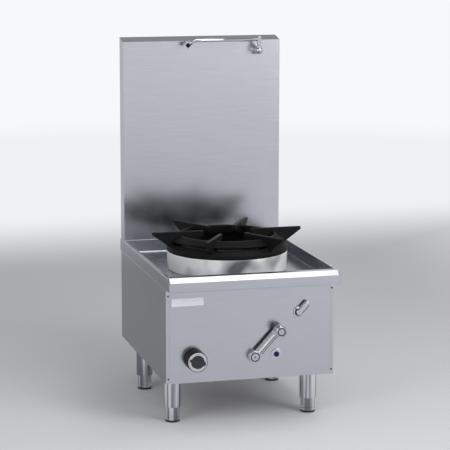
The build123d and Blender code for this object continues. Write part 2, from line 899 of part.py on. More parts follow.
def pilot_places():
    """Centres of the pilot burner, thermocouple and electrode beside the outer ring."""
    centre_x = pilot_reach * cos(radians(pilot_angle))
    centre_y = drum_y + pilot_reach * sin(radians(pilot_angle))
    step = (-sin(radians(pilot_angle)), cos(radians(pilot_angle)))
    names = ("thermocouple", "pilot", "electrode")
    shift = {"thermocouple": -pilot_spacing, "pilot": 0, "electrode": pilot_spacing}
    return {name: (centre_x + shift[name] * step[0], centre_y + shift[name] * step[1]) for name in names}


def pilot_bracket():
    """Flat plate under the outer ring that holds the pilot group."""
    top = burner_bottom_z
    bottom = top - pilot_plate_thickness
    reach = (outer_ring_radius, pilot_reach + 3 * pilot_radius)
    width = pilot_spacing + 3 * pilot_radius
    plate = Pos(0, drum_y, 0) * Rot(0, 0, pilot_angle) * block(reach, (-width, width), (bottom, top))
    radii = {"thermocouple": thermocouple_radius, "pilot": pilot_radius, "electrode": electrode_radius}
    for name, (x, y) in pilot_places().items():
        plate -= hole_z(radii[name] + running_clearance, x, y, bottom, top)
    return plate


def pilot_burner():
    """Small hooded pilot jet with the tube that feeds it from the gas valve."""
    x, y = pilot_places()["pilot"]
    base_z = tray_under_z - pilot_stem_drop
    top_z = burner_top_z + pilot_top_rise
    jet = rod(pilot_radius, (x, y, base_z), (x, y, top_z))
    hood = rod(pilot_hood_radius, (x, y, top_z - pilot_hood_height), (x, y, top_z))
    slot_range = (top_z - 2 * pilot_slot, top_z - pilot_slot)
    slot = block((0, 2 * pilot_hood_radius), (-pilot_slot / 2, pilot_slot / 2), slot_range)
    side = Pos(x, y, 0) * Rot(0, 0, pilot_angle + 180) * slot
    start_x = knob_x + gas_valve_radius + boss_length
    level = control_height
    route = [(start_x, holder_y, level), (x, holder_y, level), (x, y, level), (x, y, base_z)]
    return jet + hood - side + pipe(route, small_bend, lead_radius)


def thermocouple():
    """Flame sensor rod and the copper lead that runs to the back of the gas valve."""
    x, y = pilot_places()["thermocouple"]
    base_z = tray_under_z - pilot_stem_drop
    sensor = rod(thermocouple_radius, (x, y, base_z), (x, y, burner_top_z + pilot_top_rise))
    sensor = fillet(sensor.edges().group_by(Axis.Z)[-1], thermocouple_radius / 2)
    level = control_height
    start_y = valve_rear_y + magnet_length
    route = [(knob_x, start_y, level), (knob_x, y, level), (x, y, level), (x, y, base_z)]
    return sensor + pipe(route, small_bend, lead_radius)


def ignition_electrode():
    """Ceramic spark electrode with a bare steel tip, and its lead from the igniter."""
    x, y = pilot_places()["electrode"]
    base_z = tray_under_z - pilot_stem_drop
    top_z = burner_top_z + pilot_top_rise
    ceramic = rod(electrode_radius, (x, y, base_z), (x, y, top_z - electrode_tip))
    tip = rod(electrode_tip_radius, (x, y, base_z), (x, y, top_z))
    start_y = panel_inner_y + igniter_body_length
    turn_y = start_y + 2 * small_bend
    low = control_height
    high = low + 3.5 * small_bend
    route = [
        (igniter_x, start_y, low),
        (igniter_x, turn_y, low),
        (igniter_x, turn_y, high),
        (x, turn_y, high),
        (x, y, high),
        (x, y, base_z),
    ]
    return ceramic + tip + pipe(route, 0.9 * small_bend, lead_radius)


def gas_valve():
    """Valve body with its neck through the panel, three bosses and the safety magnet at the rear."""
    x = knob_x
    z = control_height
    body = rod_along_y(gas_valve_neck_radius, x, z, front_y, valve_body_front_y)
    body += rod_along_y(gas_valve_radius, x, z, valve_body_front_y, valve_rear_y)
    body += rod_along_y(magnet_radius, x, z, valve_rear_y, valve_rear_y + magnet_length)
    reach = gas_valve_radius + boss_length
    body += rod(boss_radius, (x - reach, holder_y, z), (x, holder_y, z))
    body += rod(boss_radius, (x, holder_y, z), (x, holder_y, z + reach))
    body += rod(boss_radius / 2, (x, holder_y, z), (x + reach, holder_y, z))
    body -= rod_along_y(plug_radius + running_clearance, x, z, plug_front_y, plug_front_y + plug_length)
    spindle_room = plug_front_y + plug_length + knob_travel
    body -= rod_along_y(spindle_radius + running_clearance, x, z, front_y, spindle_room)
    return body


def valve_plug():
    """Round plug that turns inside the gas valve and is keyed to the spindle."""
    ends = (plug_front_y + panel_gap, plug_front_y + plug_length - panel_gap)
    plug = rod_along_y(plug_radius, knob_x, control_height, *ends)
    return plug - rod_along_y(spindle_radius + running_clearance, knob_x, control_height, ends[0], ends[1])


def valve_spindle():
    """Steel spindle with a flat, which slides in the plug and carries the knob."""
    front = knob_front_y + knob_ring_seat + knob_wall
    rear = plug_front_y + plug_length - panel_gap
    spindle = rod_along_y(spindle_radius, knob_x, control_height, front, rear)
    flat_z = control_height + 0.6 * spindle_radius
    flat = block(
        (knob_x - spindle_radius, knob_x + spindle_radius),
        (front, knob_rear_y),
        (flat_z, control_height + spindle_radius),
    )
    return spindle - flat


def knob_body():
    """Black tapered knob, hollow at the back, with a seat for the ring and a hub on the spindle."""
    front = knob_front_y
    seat = front + knob_ring_seat
    inside = seat + knob_wall
    front_radius = knob_radius - knob_taper
    hub = 2 * spindle_radius
    bore = spindle_radius + running_clearance
    profile = [
        (0, front),
        (knob_ring_inner - running_clearance, front),
        (knob_ring_inner - running_clearance, seat),
        (knob_ring_outer + running_clearance, seat),
        (knob_ring_outer + running_clearance, front),
        (front_radius, front),
        (knob_radius, knob_rear_y),
        (knob_radius - knob_wall, knob_rear_y),
        (front_radius - knob_wall, inside),
        (hub, inside),
        (hub, knob_rear_y),
        (bore, knob_rear_y),
        (bore, inside),
        (0, inside),
    ]
    return turned_along_y(profile, knob_x, control_height)


def knob_ring():
    """Bright ring set into the front of the knob."""
    front = knob_front_y - knob_ring_proud
    seat = knob_front_y + knob_ring_seat
    edge = knob_ring_proud / 2
    profile = [
        (knob_ring_inner, seat),
        (knob_ring_inner, front + edge),
        (knob_ring_inner + edge, front),
        (knob_ring_outer - edge, front),
        (knob_ring_outer, front + edge),
        (knob_ring_outer, seat),
    ]
    return turned_along_y(profile, knob_x, control_height)


def facing_front(x, y, z, angle):
    """A sketch plane that looks to the front, with its X axis turned up from level by an angle."""
    turn = radians(angle)
    return Plane(origin=(x, y, z), x_dir=(cos(turn), 0, sin(turn)), z_dir=(0, -1, 0))


def knob_grip():
    """Dark centre of the knob: a disc with a raised tapered bar that ends in a round lobe."""
    base = knob_front_y
    step = knob_ring_proud + running_clearance
    plane = facing_front(knob_x, base, control_height, knob_rest_angle)
    disc = extrude(plane * Circle(grip_disc_radius), amount=step)
    end_radius = grip_bar_end_width / 2
    end = Pos(end_radius - grip_bar_half_length, 0) * Circle(end_radius)
    lobe = Pos(grip_bar_half_length - grip_lobe_radius, 0) * Circle(grip_lobe_radius)
    bar_outline = make_hull(end.edges() + lobe.edges())
    bar_plane = facing_front(knob_x, base - step, control_height, knob_rest_angle)
    bar = extrude(bar_plane * bar_outline, amount=grip_bar_proud - step)
    bar = chamfer(bar.faces().sort_by(Axis.Y)[0].edges(), grip_edge)
    return disc + bar


def water_valve(x, z):
    """Quarter-turn water valve behind the panel, with its neck through the panel."""
    body = rod_along_y(water_neck_radius, x, z, front_y, panel_inner_y)
    body += rod_along_y(water_valve_radius, x, z, panel_inner_y, water_valve_rear_y)
    body += rod(boss_radius, (x, water_axis_y, z - water_valve_radius - boss_length), (x, water_axis_y, z))
    spindle_room = panel_inner_y + water_valve_length / 2
    body -= rod_along_y(water_spindle_radius + running_clearance, x, z, front_y, spindle_room)
    return body


def lever_arm():
    """Forged lever: a round hub on its spindle and a flat arm with softened edges."""
    x = lever_x
    z = control_height
    hub = rod_along_y(lever_hub_radius, x, z, lever_hub_front_y, lever_hub_rear_y)
    hub = fillet(hub.edges().filter_by(GeomType.CIRCLE).sort_by(Axis.Y)[0], lever_arm_thickness / 3)
    arm_front = lever_hub_front_y + lever_arm_step
    plane = facing_front(x, arm_front + lever_arm_thickness, z, lever_rest_angle)
    middle = Pos(lever_length / 2, 0)
    outline = middle * SlotCenterToCenter(lever_length, lever_arm_width)
    arm = extrude(plane * outline, amount=lever_arm_thickness)
    arm = chamfer(arm.faces().sort_by(Axis.Y)[0].edges(), lever_arm_thickness / 3)
    spindle_end = panel_inner_y + water_valve_length / 2 - panel_gap
    spindle = rod_along_y(water_spindle_radius, x, z, lever_hub_rear_y - cut_margin, spindle_end)
    return hub + arm + spindle


def lever_grip_place():
    """Centre of the lever's grip in X and Z."""
    turn = radians(lever_rest_angle)
    return lever_x + lever_length * cos(turn), control_height + lever_length * sin(turn)


def lever_grip():
    """Round metal grip that stands forward from the end of the arm."""
    x, z = lever_grip_place()
    rear = lever_hub_front_y + lever_arm_step
    grip = rod_along_y(lever_grip_radius, x, z, front_y - lever_grip_front, rear)
    return chamfer(grip.edges().filter_by(GeomType.CIRCLE).sort_by(Axis.Y)[0], lever_grip_chamfer)


def lever_cap():
    """Round cap with a hexagon socket in the middle of the lever's hub."""
    front = lever_hub_front_y - lever_cap_proud
    cap = rod_along_y(lever_cap_radius, lever_x, control_height, front, lever_hub_front_y)
    plane = facing_front(lever_x, lever_hub_front_y, control_height, lever_rest_angle)
    return cap - extrude(plane * RegularPolygon(socket_radius, 6), amount=lever_cap_proud + cut_margin)


def tap_escutcheon():
    """Round cover plate around the neck of the small tap."""
    inner = water_neck_radius + running_clearance
    return turned_along_y([
        (inner, front_y),
        (tap_escutcheon_radius, front_y),
        (tap_escutcheon_radius, front_y - tap_escutcheon_depth / 2),
        (tap_hub_radius, front_y - tap_escutcheon_depth),
        (inner, front_y - tap_escutcheon_depth),
    ], tap_x, tap_height)


def tap_lever():
    """Short rounded lever with its hub and spindle."""
    x = tap_x
    z = tap_height
    rear = front_y - tap_escutcheon_depth - tap_lever_clearance
    front = rear - tap_lever_thickness
    hub = rod_along_y(tap_hub_radius, x, z, front, rear)
    plane = facing_front(x, rear, z, tap_rest_angle)
    reach = tap_lever_length - tap_lever_width / 2
    outline = Pos(reach / 2, 0) * SlotCenterToCenter(reach, tap_lever_width)
    lever = extrude(plane * outline, amount=tap_lever_thickness)
    lever = fillet(lever.faces().sort_by(Axis.Y)[0].edges(), 0.45 * tap_lever_thickness)
    spindle_end = panel_inner_y + water_valve_length / 2 - panel_gap
    spindle = rod_along_y(water_spindle_radius, x, z, rear - cut_margin, spindle_end)
    return lever + (hub & lever) + spindle


def igniter_body():
    """Push igniter behind the panel, with a socket at the front for its button."""
    rear = panel_inner_y + igniter_body_length
    body = rod_along_y(igniter_body_radius, igniter_x, control_height, front_y, rear)
    body = fillet(body.edges().filter_by(GeomType.CIRCLE).sort_by(Axis.Y)[-1], igniter_body_radius / 4)
    room = front_y + igniter_button_seat + igniter_travel + panel_gap
    bore = igniter_button_radius + running_clearance
    return body - rod_along_y(bore, igniter_x, control_height, front_y, room)


def igniter_bezel():
    """Thin bright ring around the button."""
    inner = igniter_button_radius + panel_gap
    return turned_along_y([
        (inner, front_y),
        (igniter_bezel_radius, front_y),
        (igniter_bezel_radius, front_y - igniter_bezel_depth / 3),
        (igniter_bezel_radius - igniter_bezel_depth, front_y - igniter_bezel_depth),
        (inner, front_y - igniter_bezel_depth),
    ], igniter_x, control_height)


def igniter_button():
    """Round push button with a softened edge."""
    front = front_y - igniter_button_proud
    rear = front_y + igniter_button_seat
    button = rod_along_y(igniter_button_radius, igniter_x, control_height, front, rear)
    return fillet(button.edges().filter_by(GeomType.CIRCLE).sort_by(Axis.Y)[0], igniter_button_proud / 4)


def inlet_nipple(x):
    """Threaded inlet that points down under the cabinet, with a nut below its bracket."""
    nut_top = channel_web_z
    nipple = rod(inlet_radius, (x, inlet_y, inlet_end_z), (x, inlet_y, nut_top))
    nut = Pos(x, inlet_y, inlet_end_z + inlet_length) * extrude(
        RegularPolygon(inlet_nut_radius, 6), amount=nut_top - inlet_end_z - inlet_length)
    bore_top = inlet_end_z + inlet_length
    bore_radius = inlet_radius - 2 * pipe_wall
    return nipple + nut - rod(bore_radius, (x, inlet_y, inlet_end_z), (x, inlet_y, bore_top))


def gas_inlet_pipe():
    """Gas pipe from the inlet under the rear of the cabinet to the side of the gas valve."""
    x = gas_inlet_x
    level = control_height
    end_x = knob_x - gas_valve_radius - boss_length
    route = [
        (x, inlet_y, channel_web_z - cut_margin),
        (x, inlet_y, level),
        (x, holder_y, level),
        (end_x, holder_y, level),
    ]
    return inlet_nipple(x) + pipe(route, pipe_bend, gas_pipe_radius)


def burner_supply_tube():
    """Tube from the top of the gas valve to the injector holder."""
    start_z = control_height + gas_valve_radius + boss_length
    end_x = -holder_size / 2 - boss_length
    route = [(knob_x, holder_y, start_z), (knob_x, holder_y, mixing_z), (end_x, holder_y, mixing_z)]
    return pipe(route, pipe_bend, supply_tube_radius)


def water_inlet_pipe():
    """Water pipe from the inlet under the rear of the cabinet to the rear of the small tap's valve."""
    x = tap_x
    route = [
        (x, inlet_y, channel_web_z - cut_margin),
        (x, inlet_y, tap_height),
        (x, water_valve_rear_y, tap_height),
    ]
    return inlet_nipple(x) + pipe(route, pipe_bend, water_pipe_radius)


def link_pipe():
    """Water pipe that drops from the small tap's valve and rises into the lever valve."""
    reach = water_valve_radius + boss_length
    route = [
        (tap_x, water_axis_y, tap_height - reach),
        (tap_x, water_axis_y, link_pipe_level),
        (lever_x, water_axis_y, link_pipe_level),
        (lever_x, water_axis_y, control_height - reach),
    ]
    return pipe(route, pipe_bend, water_pipe_radius)


def riser_pipe():
    """Water pipe from the lever valve to the rear, up inside the splashback and out to the spout."""
    route = [
        (lever_x, water_valve_rear_y, control_height),
        (lever_x, riser_y, control_height),
        (spout_x, riser_y, control_height),
        (spout_x, riser_y, spout_height),
        (spout_x, splash_front_y, spout_height),
    ]
    return pipe(route, pipe_bend, water_pipe_radius)


def pipe_brackets():
    """Two brackets that carry the inlets on the rear rail and two clips for the riser."""
    brackets = []
    rail_y = rear_y - hob_sheet - 2 * panel_sheet
    half = bracket_width / 2
    for x, radius in ((gas_inlet_x, gas_pipe_radius), (tap_x, water_pipe_radius)):
        z_range = (channel_web_z, channel_web_z + bracket_thickness)
        plate = block((x - half, x + half), (inlet_y - half, rail_y - angle_thickness), z_range)
        brackets.append(plate - hole_z(radius + running_clearance, x, inlet_y, *z_range))
    for share in (0.4, 0.8):
        z = hob_height + share * (spout_height - hob_height)
        z_range = (z, z + clip_height)
        clip = block((spout_x - half, spout_x + half), (splash_front_y + splash_sheet, riser_y), z_range)
        brackets.append(clip - hole_z(water_pipe_radius + running_clearance, spout_x, riser_y, *z_range))
    return Compound(brackets)


def spout_elbow():
    """Wall elbow: a round flange, a body that reaches forward and an upright socket for the spout."""
    x = spout_x
    z = spout_height
    body = rod_along_y(flange_radius, x, z, splash_front_y - flange_depth, splash_front_y)
    body = chamfer(body.edges().filter_by(GeomType.CIRCLE).sort_by(Axis.Y)[0], flange_depth / 3)
    body += rod_along_y(elbow_radius, x, z, column_y, splash_front_y)
    body += Pos(x, column_y, z) * Sphere(elbow_radius)
    body += rod(socket_outer_radius, (x, column_y, z), (x, column_y, socket_top))
    socket = ((x, column_y, column_bottom - panel_gap), (x, column_y, socket_top + cut_margin))
    return body - rod(column_radius + running_clearance, *socket)


def spout_path():
    """Corner points of the spout: from the column, level along the splashback, then down to the nozzle."""
    level = spout_tube_level
    bend_x = spout_x - spout_length
    end = (bend_x - nozzle_run, column_y, level - nozzle_drop)
    return [(spout_x, column_y, level), (bend_x, column_y, level), end]


def spout_tube():
    """Swinging spout: an upright column with a level tube that bends down at its end."""
    column = rod(column_radius, (spout_x, column_y, column_bottom), (spout_x, column_y, column_top))
    column = fillet(column.edges().group_by(Axis.Z)[-1], column_radius / 4)
    points = spout_path()
    tube = pipe(points, 3 * spout_tube_radius, spout_tube_radius)
    back = (Vector(*points[1]) - Vector(*points[2])).normalized()
    end = Vector(*points[2])
    return column + tube - rod(spout_tube_radius - pipe_wall, end, end + back * nozzle_length)


def spout_nozzle():
    """Short collar around the open end of the spout."""
    points = spout_path()
    back = (Vector(*points[1]) - Vector(*points[2])).normalized()
    end = Vector(*points[2])
    past = back * cut_margin
    mouth = end - back * (nozzle_radius - spout_tube_radius)
    top = end + back * nozzle_length
    collar = rod(nozzle_radius, mouth, top)
    return collar - rod(spout_tube_radius + running_clearance, mouth - past, top + past)


def build():
    """Makes every piece and writes one file for each."""
    pieces = {
        "hob_top": hob_top(),
        "left_side_panel": side_panel(-1),
        "right_side_panel": side_panel(1),
        "front_panel": front_panel(),
        "rear_panel": rear_panel(),
        "splash_panel": splash_panel(),
        "splash_cover": splash_cover(),
        "base_frame": base_frame(),
        "frame_bolts": frame_bolts(),
        "panel_screws": panel_screws(),
        "drum": drum(),
        "trivet": trivet(),
        "burner": burner(),
        "burner_supports": burner_supports(),
        "mixing_tube": mixing_tube(),
        "air_shutter": air_shutter(),
        "injector": injector(),
        "injector_holder": injector_holder(),
        "pilot_bracket": pilot_bracket(),
        "pilot_burner": pilot_burner(),
        "thermocouple": thermocouple(),
        "ignition_electrode": ignition_electrode(),
        "gas_valve": gas_valve(),
        "valve_plug": valve_plug(),
        "valve_spindle": valve_spindle(),
        "knob_body": knob_body(),
        "knob_ring": knob_ring(),
        "knob_grip": knob_grip(),
        "lever_valve": water_valve(lever_x, control_height),
        "lever_arm": lever_arm(),
        "lever_cap": lever_cap(),
        "lever_grip": lever_grip(),
        "tap_valve": water_valve(tap_x, tap_height),
        "tap_escutcheon": tap_escutcheon(),
        "tap_lever": tap_lever(),
        "igniter_body": igniter_body(),
        "igniter_bezel": igniter_bezel(),
        "igniter_button": igniter_button(),
        "gas_inlet_pipe": gas_inlet_pipe(),
        "burner_supply_tube": burner_supply_tube(),
        "water_inlet_pipe": water_inlet_pipe(),
        "link_pipe": link_pipe(),
        "riser_pipe": riser_pipe(),
        "pipe_brackets": pipe_brackets(),
        "spout_elbow": spout_elbow(),
        "spout_tube": spout_tube(),
        "spout_nozzle": spout_nozzle(),
    }
    for end, y in leg_ys.items():
        for side, x in leg_xs.items():
            pieces[f"leg_{end}_{side}"] = leg(x, y)
            pieces[f"foot_{end}_{side}"] = foot(x, y)
            pieces[f"foot_pad_{end}_{side}"] = foot_pad(x, y)
    os.makedirs("parts", exist_ok=True)
    for name, shape in pieces.items():
        export_step(shape, f"parts/{name}.step")


build()
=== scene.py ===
"""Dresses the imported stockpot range: finishes for every sheet, casting and fitting, softened casting
edges, small details and a plain pale studio. All lengths are in metres unless a name ends in _mm."""

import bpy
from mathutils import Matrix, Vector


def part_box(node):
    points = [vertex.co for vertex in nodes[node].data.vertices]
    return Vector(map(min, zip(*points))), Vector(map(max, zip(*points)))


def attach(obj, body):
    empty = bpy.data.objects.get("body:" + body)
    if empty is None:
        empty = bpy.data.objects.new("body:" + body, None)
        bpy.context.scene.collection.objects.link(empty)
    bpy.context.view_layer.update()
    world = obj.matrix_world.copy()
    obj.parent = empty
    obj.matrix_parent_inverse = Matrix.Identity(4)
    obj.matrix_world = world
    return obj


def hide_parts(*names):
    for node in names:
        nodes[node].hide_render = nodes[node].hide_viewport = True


bl_info = {
    "name": "Stockpot range dressing",
    "version": (1, 0, 0),
    "blender": (4, 5, 0),
    "location": "3D View > Sidebar > Range",
    "description": "Finishes, castings and studio for the packed stockpot range",
    "category": "Object",
}

import math

import bmesh
import bpy
from mathutils import Matrix, Vector

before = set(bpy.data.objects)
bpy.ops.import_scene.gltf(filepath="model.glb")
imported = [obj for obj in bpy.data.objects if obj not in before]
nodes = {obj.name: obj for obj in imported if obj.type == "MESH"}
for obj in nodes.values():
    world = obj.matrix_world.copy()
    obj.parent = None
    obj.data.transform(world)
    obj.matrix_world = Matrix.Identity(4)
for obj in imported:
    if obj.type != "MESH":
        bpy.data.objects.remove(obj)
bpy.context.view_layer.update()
MILLIMETRE = 0.001

# Places that the turned pieces need, as in the part's source: in millimetres, X right, Y rear, Z up.
DRUM_Y = -22
TRAY_FLOOR_Z = 500
DRUM_RADIUS = 215
DRUM_HEIGHT = 66
DRUM_FOOT = 25
TRIVET_Z = TRAY_FLOOR_Z + DRUM_HEIGHT
FRONT_Y = -340
SPLASH_Y = 338
HOB_Z = 545
TRAY_SIDE_X, TRAY_FRONT_Y, TRAY_BEND = 293, -356, 4
SKIRT_X, SKIRT_Z = 302.25, 499.2
CONTROL_Z = 250
LEVER_X = 9
LEVER_ANGLE = math.radians(47)
LEVER_LENGTH = 124
TAP_X, TAP_Z = 170, 396
IGNITER_X = 92
KNOB_X = -200
SPOUT_X, SPOUT_Y, SPOUT_Z = 205, 286, 1252
LEG_PLACES = {
    "front_left": (-248, -213),
    "front_right": (248, -213),
    "rear_left": (-248, 240),
    "rear_right": (248, 240),
}


def linear(code, alpha=1.0):
    """Turns an sRGB colour written as hex into the linear colour that Blender stores."""
    channels = [int(code[place:place + 2], 16) / 255 for place in (1, 3, 5)]
    curved = [((c + 0.055) / 1.055) ** 2.4 if c > 0.04045 else c / 12.92 for c in channels]
    return (*curved, alpha)


def colour_property(name, description, code):
    """A colour that a user can change, with its default written as hex."""
    return bpy.props.FloatVectorProperty(
        name=name, description=description, subtype="COLOR", size=4, min=0, max=1, default=linear(code))


def length_property(name, description, millimetres):
    """A length that a user can change, with its default in millimetres."""
    return bpy.props.FloatProperty(
        name=name, description=description, subtype="DISTANCE", unit="LENGTH", min=0,
        precision=4, default=millimetres * MILLIMETRE)


def power_property(name, description, watts):
    """The power of a lamp, that a user can change."""
    return bpy.props.FloatProperty(name=name, description=description, unit="POWER", min=0, default=watts)


def strength_property(name, description, strength):
    """The strength of a part of the even light, that a user can change."""
    return bpy.props.FloatProperty(name=name, description=description, min=0, default=strength)


class RangeColours(bpy.types.PropertyGroup):
    """Colours of the finishes"""
    steel: colour_property("Stainless steel", "Reflection colour of the brushed sheets", "#c6c8cf")
    steel_dark: colour_property("Steel in the grooves", "Colour between the brush lines", "#b9bbc3")
    # Painted shade: the darker colour that every face looking to the left or right is mixed towards.
    side_steel_painted_shade: colour_property("Side panels", "Reflection colour of the side faces", "#868890")
    tube: colour_property("Tube steel", "Reflection colour of the legs", "#dfe1e6")
    # Painted reflection: a near-white colour that makes the mostly diffuse drum as bright as a mirror of
    # pale surroundings.
    bright_steel: colour_property("Bright steel", "Reflection colour of the drum", "#fafbfc")
    soot: colour_property("Soot", "Colour of the burnt inside of the drum", "#17161a")
    chrome: colour_property("Chrome plate", "Reflection colour of the plated fittings", "#bcbec3")
    enamel: colour_property("Black enamel", "Colour of the pan support", "#070708")
    worn_enamel: colour_property("Worn enamel", "Colour of the enamel where pans rub it", "#1d1c1c")
    iron: colour_property("Grey iron", "Colour of the bare burner casting", "#2c2a29")
    knob: colour_property("Black plastic", "Colour of the knob", "#0c0c0d")
    button: colour_property("Blue plastic", "Colour of the igniter button", "#10124a")
    badge: colour_property("Blank badge", "Colour of the plain plate on the front", "#e9ebf0")
    floor: colour_property("Floor", "Colour of the studio floor", "#e8e9ec")


class RangeSizes(bpy.types.PropertyGroup):
    """Sizes of the details"""
    casting_cell: length_property("Casting cell", "Cell of the remeshed castings", 1.8)
    sheet_bend: length_property("Sheet bend", "Outer radius of folded sheet edges", 0.8)
    edge_break: length_property("Edge break", "Radius of the edges of turned and cast pieces", 0.4)
    badge_width: length_property("Badge width", "Width of the blank plate on the front", 112)
    badge_height: length_property("Badge height", "Height of the blank plate on the front", 28)
    badge_thickness: length_property("Badge thickness", "How far the blank plate stands out", 1.5)
    badge_inset: length_property("Badge inset", "From the left edge of the front panel to the plate", 17)
    badge_drop: length_property("Badge drop", "From the top of the front panel to the plate", 32)


class RangeStudio(bpy.types.PropertyGroup):
    """Lamps and floor"""
    key_power: power_property("Key lamp", "Power of the large lamp at the front right", 72)
    front_power: power_property("Front lamp", "Power of the lamp above the floor in front", 10)
    fill_power: power_property("Fill lamp", "Power of the large lamp at the front left", 30)
    top_power: power_property("Top lamp", "Power of the lamp above the range", 12)
    ceiling: strength_property("Ceiling", "Strength of the even light from overhead", 0.35)
    horizon: strength_property("Horizon", "Strength of the even light from low down all round", 0.90)
    floor_size: bpy.props.FloatProperty(
        name="Floor size", description="Side of the square floor", unit="LENGTH", min=1, default=60)


def add_node(tree, kind, settings=(), links=()):
    """Adds one shader node, fills in its sockets or properties, and links sockets of other nodes into it."""
    node = tree.nodes.new(kind)
    for name, value in dict(settings).items():
        if isinstance(name, str) and hasattr(node, name):
            setattr(node, name, value)
        else:
            node.inputs[name].default_value = value
    for name, socket in dict(links).items():
        tree.links.new(socket, node.inputs[name])
    return node


def noise(tree, size_mm, detail=3, roughness=0.55):
    """A noise pattern in the part's own space. The size is that of one grain in millimetres: one number,
    or one for each of X, Y and Z."""
    grain = size_mm if isinstance(size_mm, tuple) else (size_mm, size_mm, size_mm)
    scale = tuple(1 / (size * MILLIMETRE) for size in grain)
    place = add_node(tree, "ShaderNodeTexCoord").outputs["Object"]
    scaled = add_node(tree, "ShaderNodeMapping", {"Scale": scale}, {"Vector": place}).outputs["Vector"]
    settings = {"Scale": 1, "Detail": detail, "Roughness": roughness}
    return add_node(tree, "ShaderNodeTexNoise", settings, {"Vector": scaled}).outputs["Fac"]


def stretch(low=0, high=1, start=0.3, end=0.7):
    """Settings of a Map Range node that spread the middle of a noise pattern over a range of values."""
    return {"From Min": start, "From Max": end, "To Min": low, "To Max": high}


def new_material(name, **settings):
    """A material with one Principled shader, and the sockets that are the same all over set on it."""
    material = bpy.data.materials.new(name)
    material.use_nodes = True
    tree = material.node_tree
    tree.nodes.clear()
    shader = add_node(tree, "ShaderNodeBsdfPrincipled", settings)
    add_node(tree, "ShaderNodeOutputMaterial", (), {"Surface": shader.outputs["BSDF"]})
    return material, tree, shader


def dress(tree, shader, tones, rough=None, hills=()):
    """Joins patterns to a shader. The tones are a colour and the coats over it, each with its pattern and
    how that is stretched. The roughness is a pattern and how it is stretched. The hills are patterns with
    their heights in millimetres, each on top of the one before."""
    colour, *coats = tones
    for coat, pattern, *limits in coats:
        share = add_node(tree, "ShaderNodeMapRange", stretch(*limits), {"Value": pattern}).outputs["Result"]
        settings = {"data_type": "RGBA"}
        links = {0: share}
        for place, tone in ((6, colour), (7, coat)):
            group = links if isinstance(tone, bpy.types.NodeSocket) else settings
            group[place] = tone
        colour = add_node(tree, "ShaderNodeMix", settings, links).outputs[2]
    tree.links.new(colour, shader.inputs["Base Color"])
    if rough:
        pattern, *limits = rough
        value = add_node(tree, "ShaderNodeMapRange", stretch(*limits), {"Value": pattern}).outputs["Result"]
        tree.links.new(value, shader.inputs["Roughness"])
    below = {}
    for pattern, height_mm in hills:
        settings = {"Strength": 1, "Distance": height_mm * MILLIMETRE}
        bump = add_node(tree, "ShaderNodeBump", settings, {"Height": pattern, **below})
        below = {"Normal": bump.outputs["Normal"]}
    for name, socket in below.items():
        tree.links.new(socket, shader.inputs[name])


def brushed_stainless(name, along, colours, rough):
    """Stainless sheet, grade 304, ground with a belt to a satin finish: fine lines along the belt,
    a soft blurred mirror, and a slow waviness of the sheet itself. The faces that look to the left or
    right are given a darker colour of their own: painted shade, for the sides that the light leaves dark."""
    material, tree, shader = new_material(name, Metallic=1.0)
    long_mm = 70
    # The belt's grit leaves lines about 0.1 mm apart. They are drawn at 0.9 mm so that they show.
    line_mm = 0.9
    grain = {"X": (long_mm, line_mm, line_mm), "Y": (line_mm, long_mm, line_mm)}[along]
    lines = noise(tree, grain, detail=4, roughness=0.7)
    # Painted shade: the more a face looks to the left or right, the more it takes the darker side colour.
    normal = add_node(tree, "ShaderNodeNewGeometry").outputs["Normal"]
    across = add_node(tree, "ShaderNodeSeparateXYZ", (), {0: normal}).outputs["X"]
    painted_shade_on_sides = add_node(tree, "ShaderNodeMath", {"operation": "ABSOLUTE"}, {0: across}).outputs["Value"]
    dress(
        tree, shader,
        [colours.steel_dark, (colours.steel, lines), (colours.side_steel_painted_shade, painted_shade_on_sides, 0, 1, 0.4, 0.9)],
        (noise(tree, 60, detail=4), rough, rough + 0.04),
        [(noise(tree, 220, detail=2), 0.06), (lines, 0.004)])
    return material


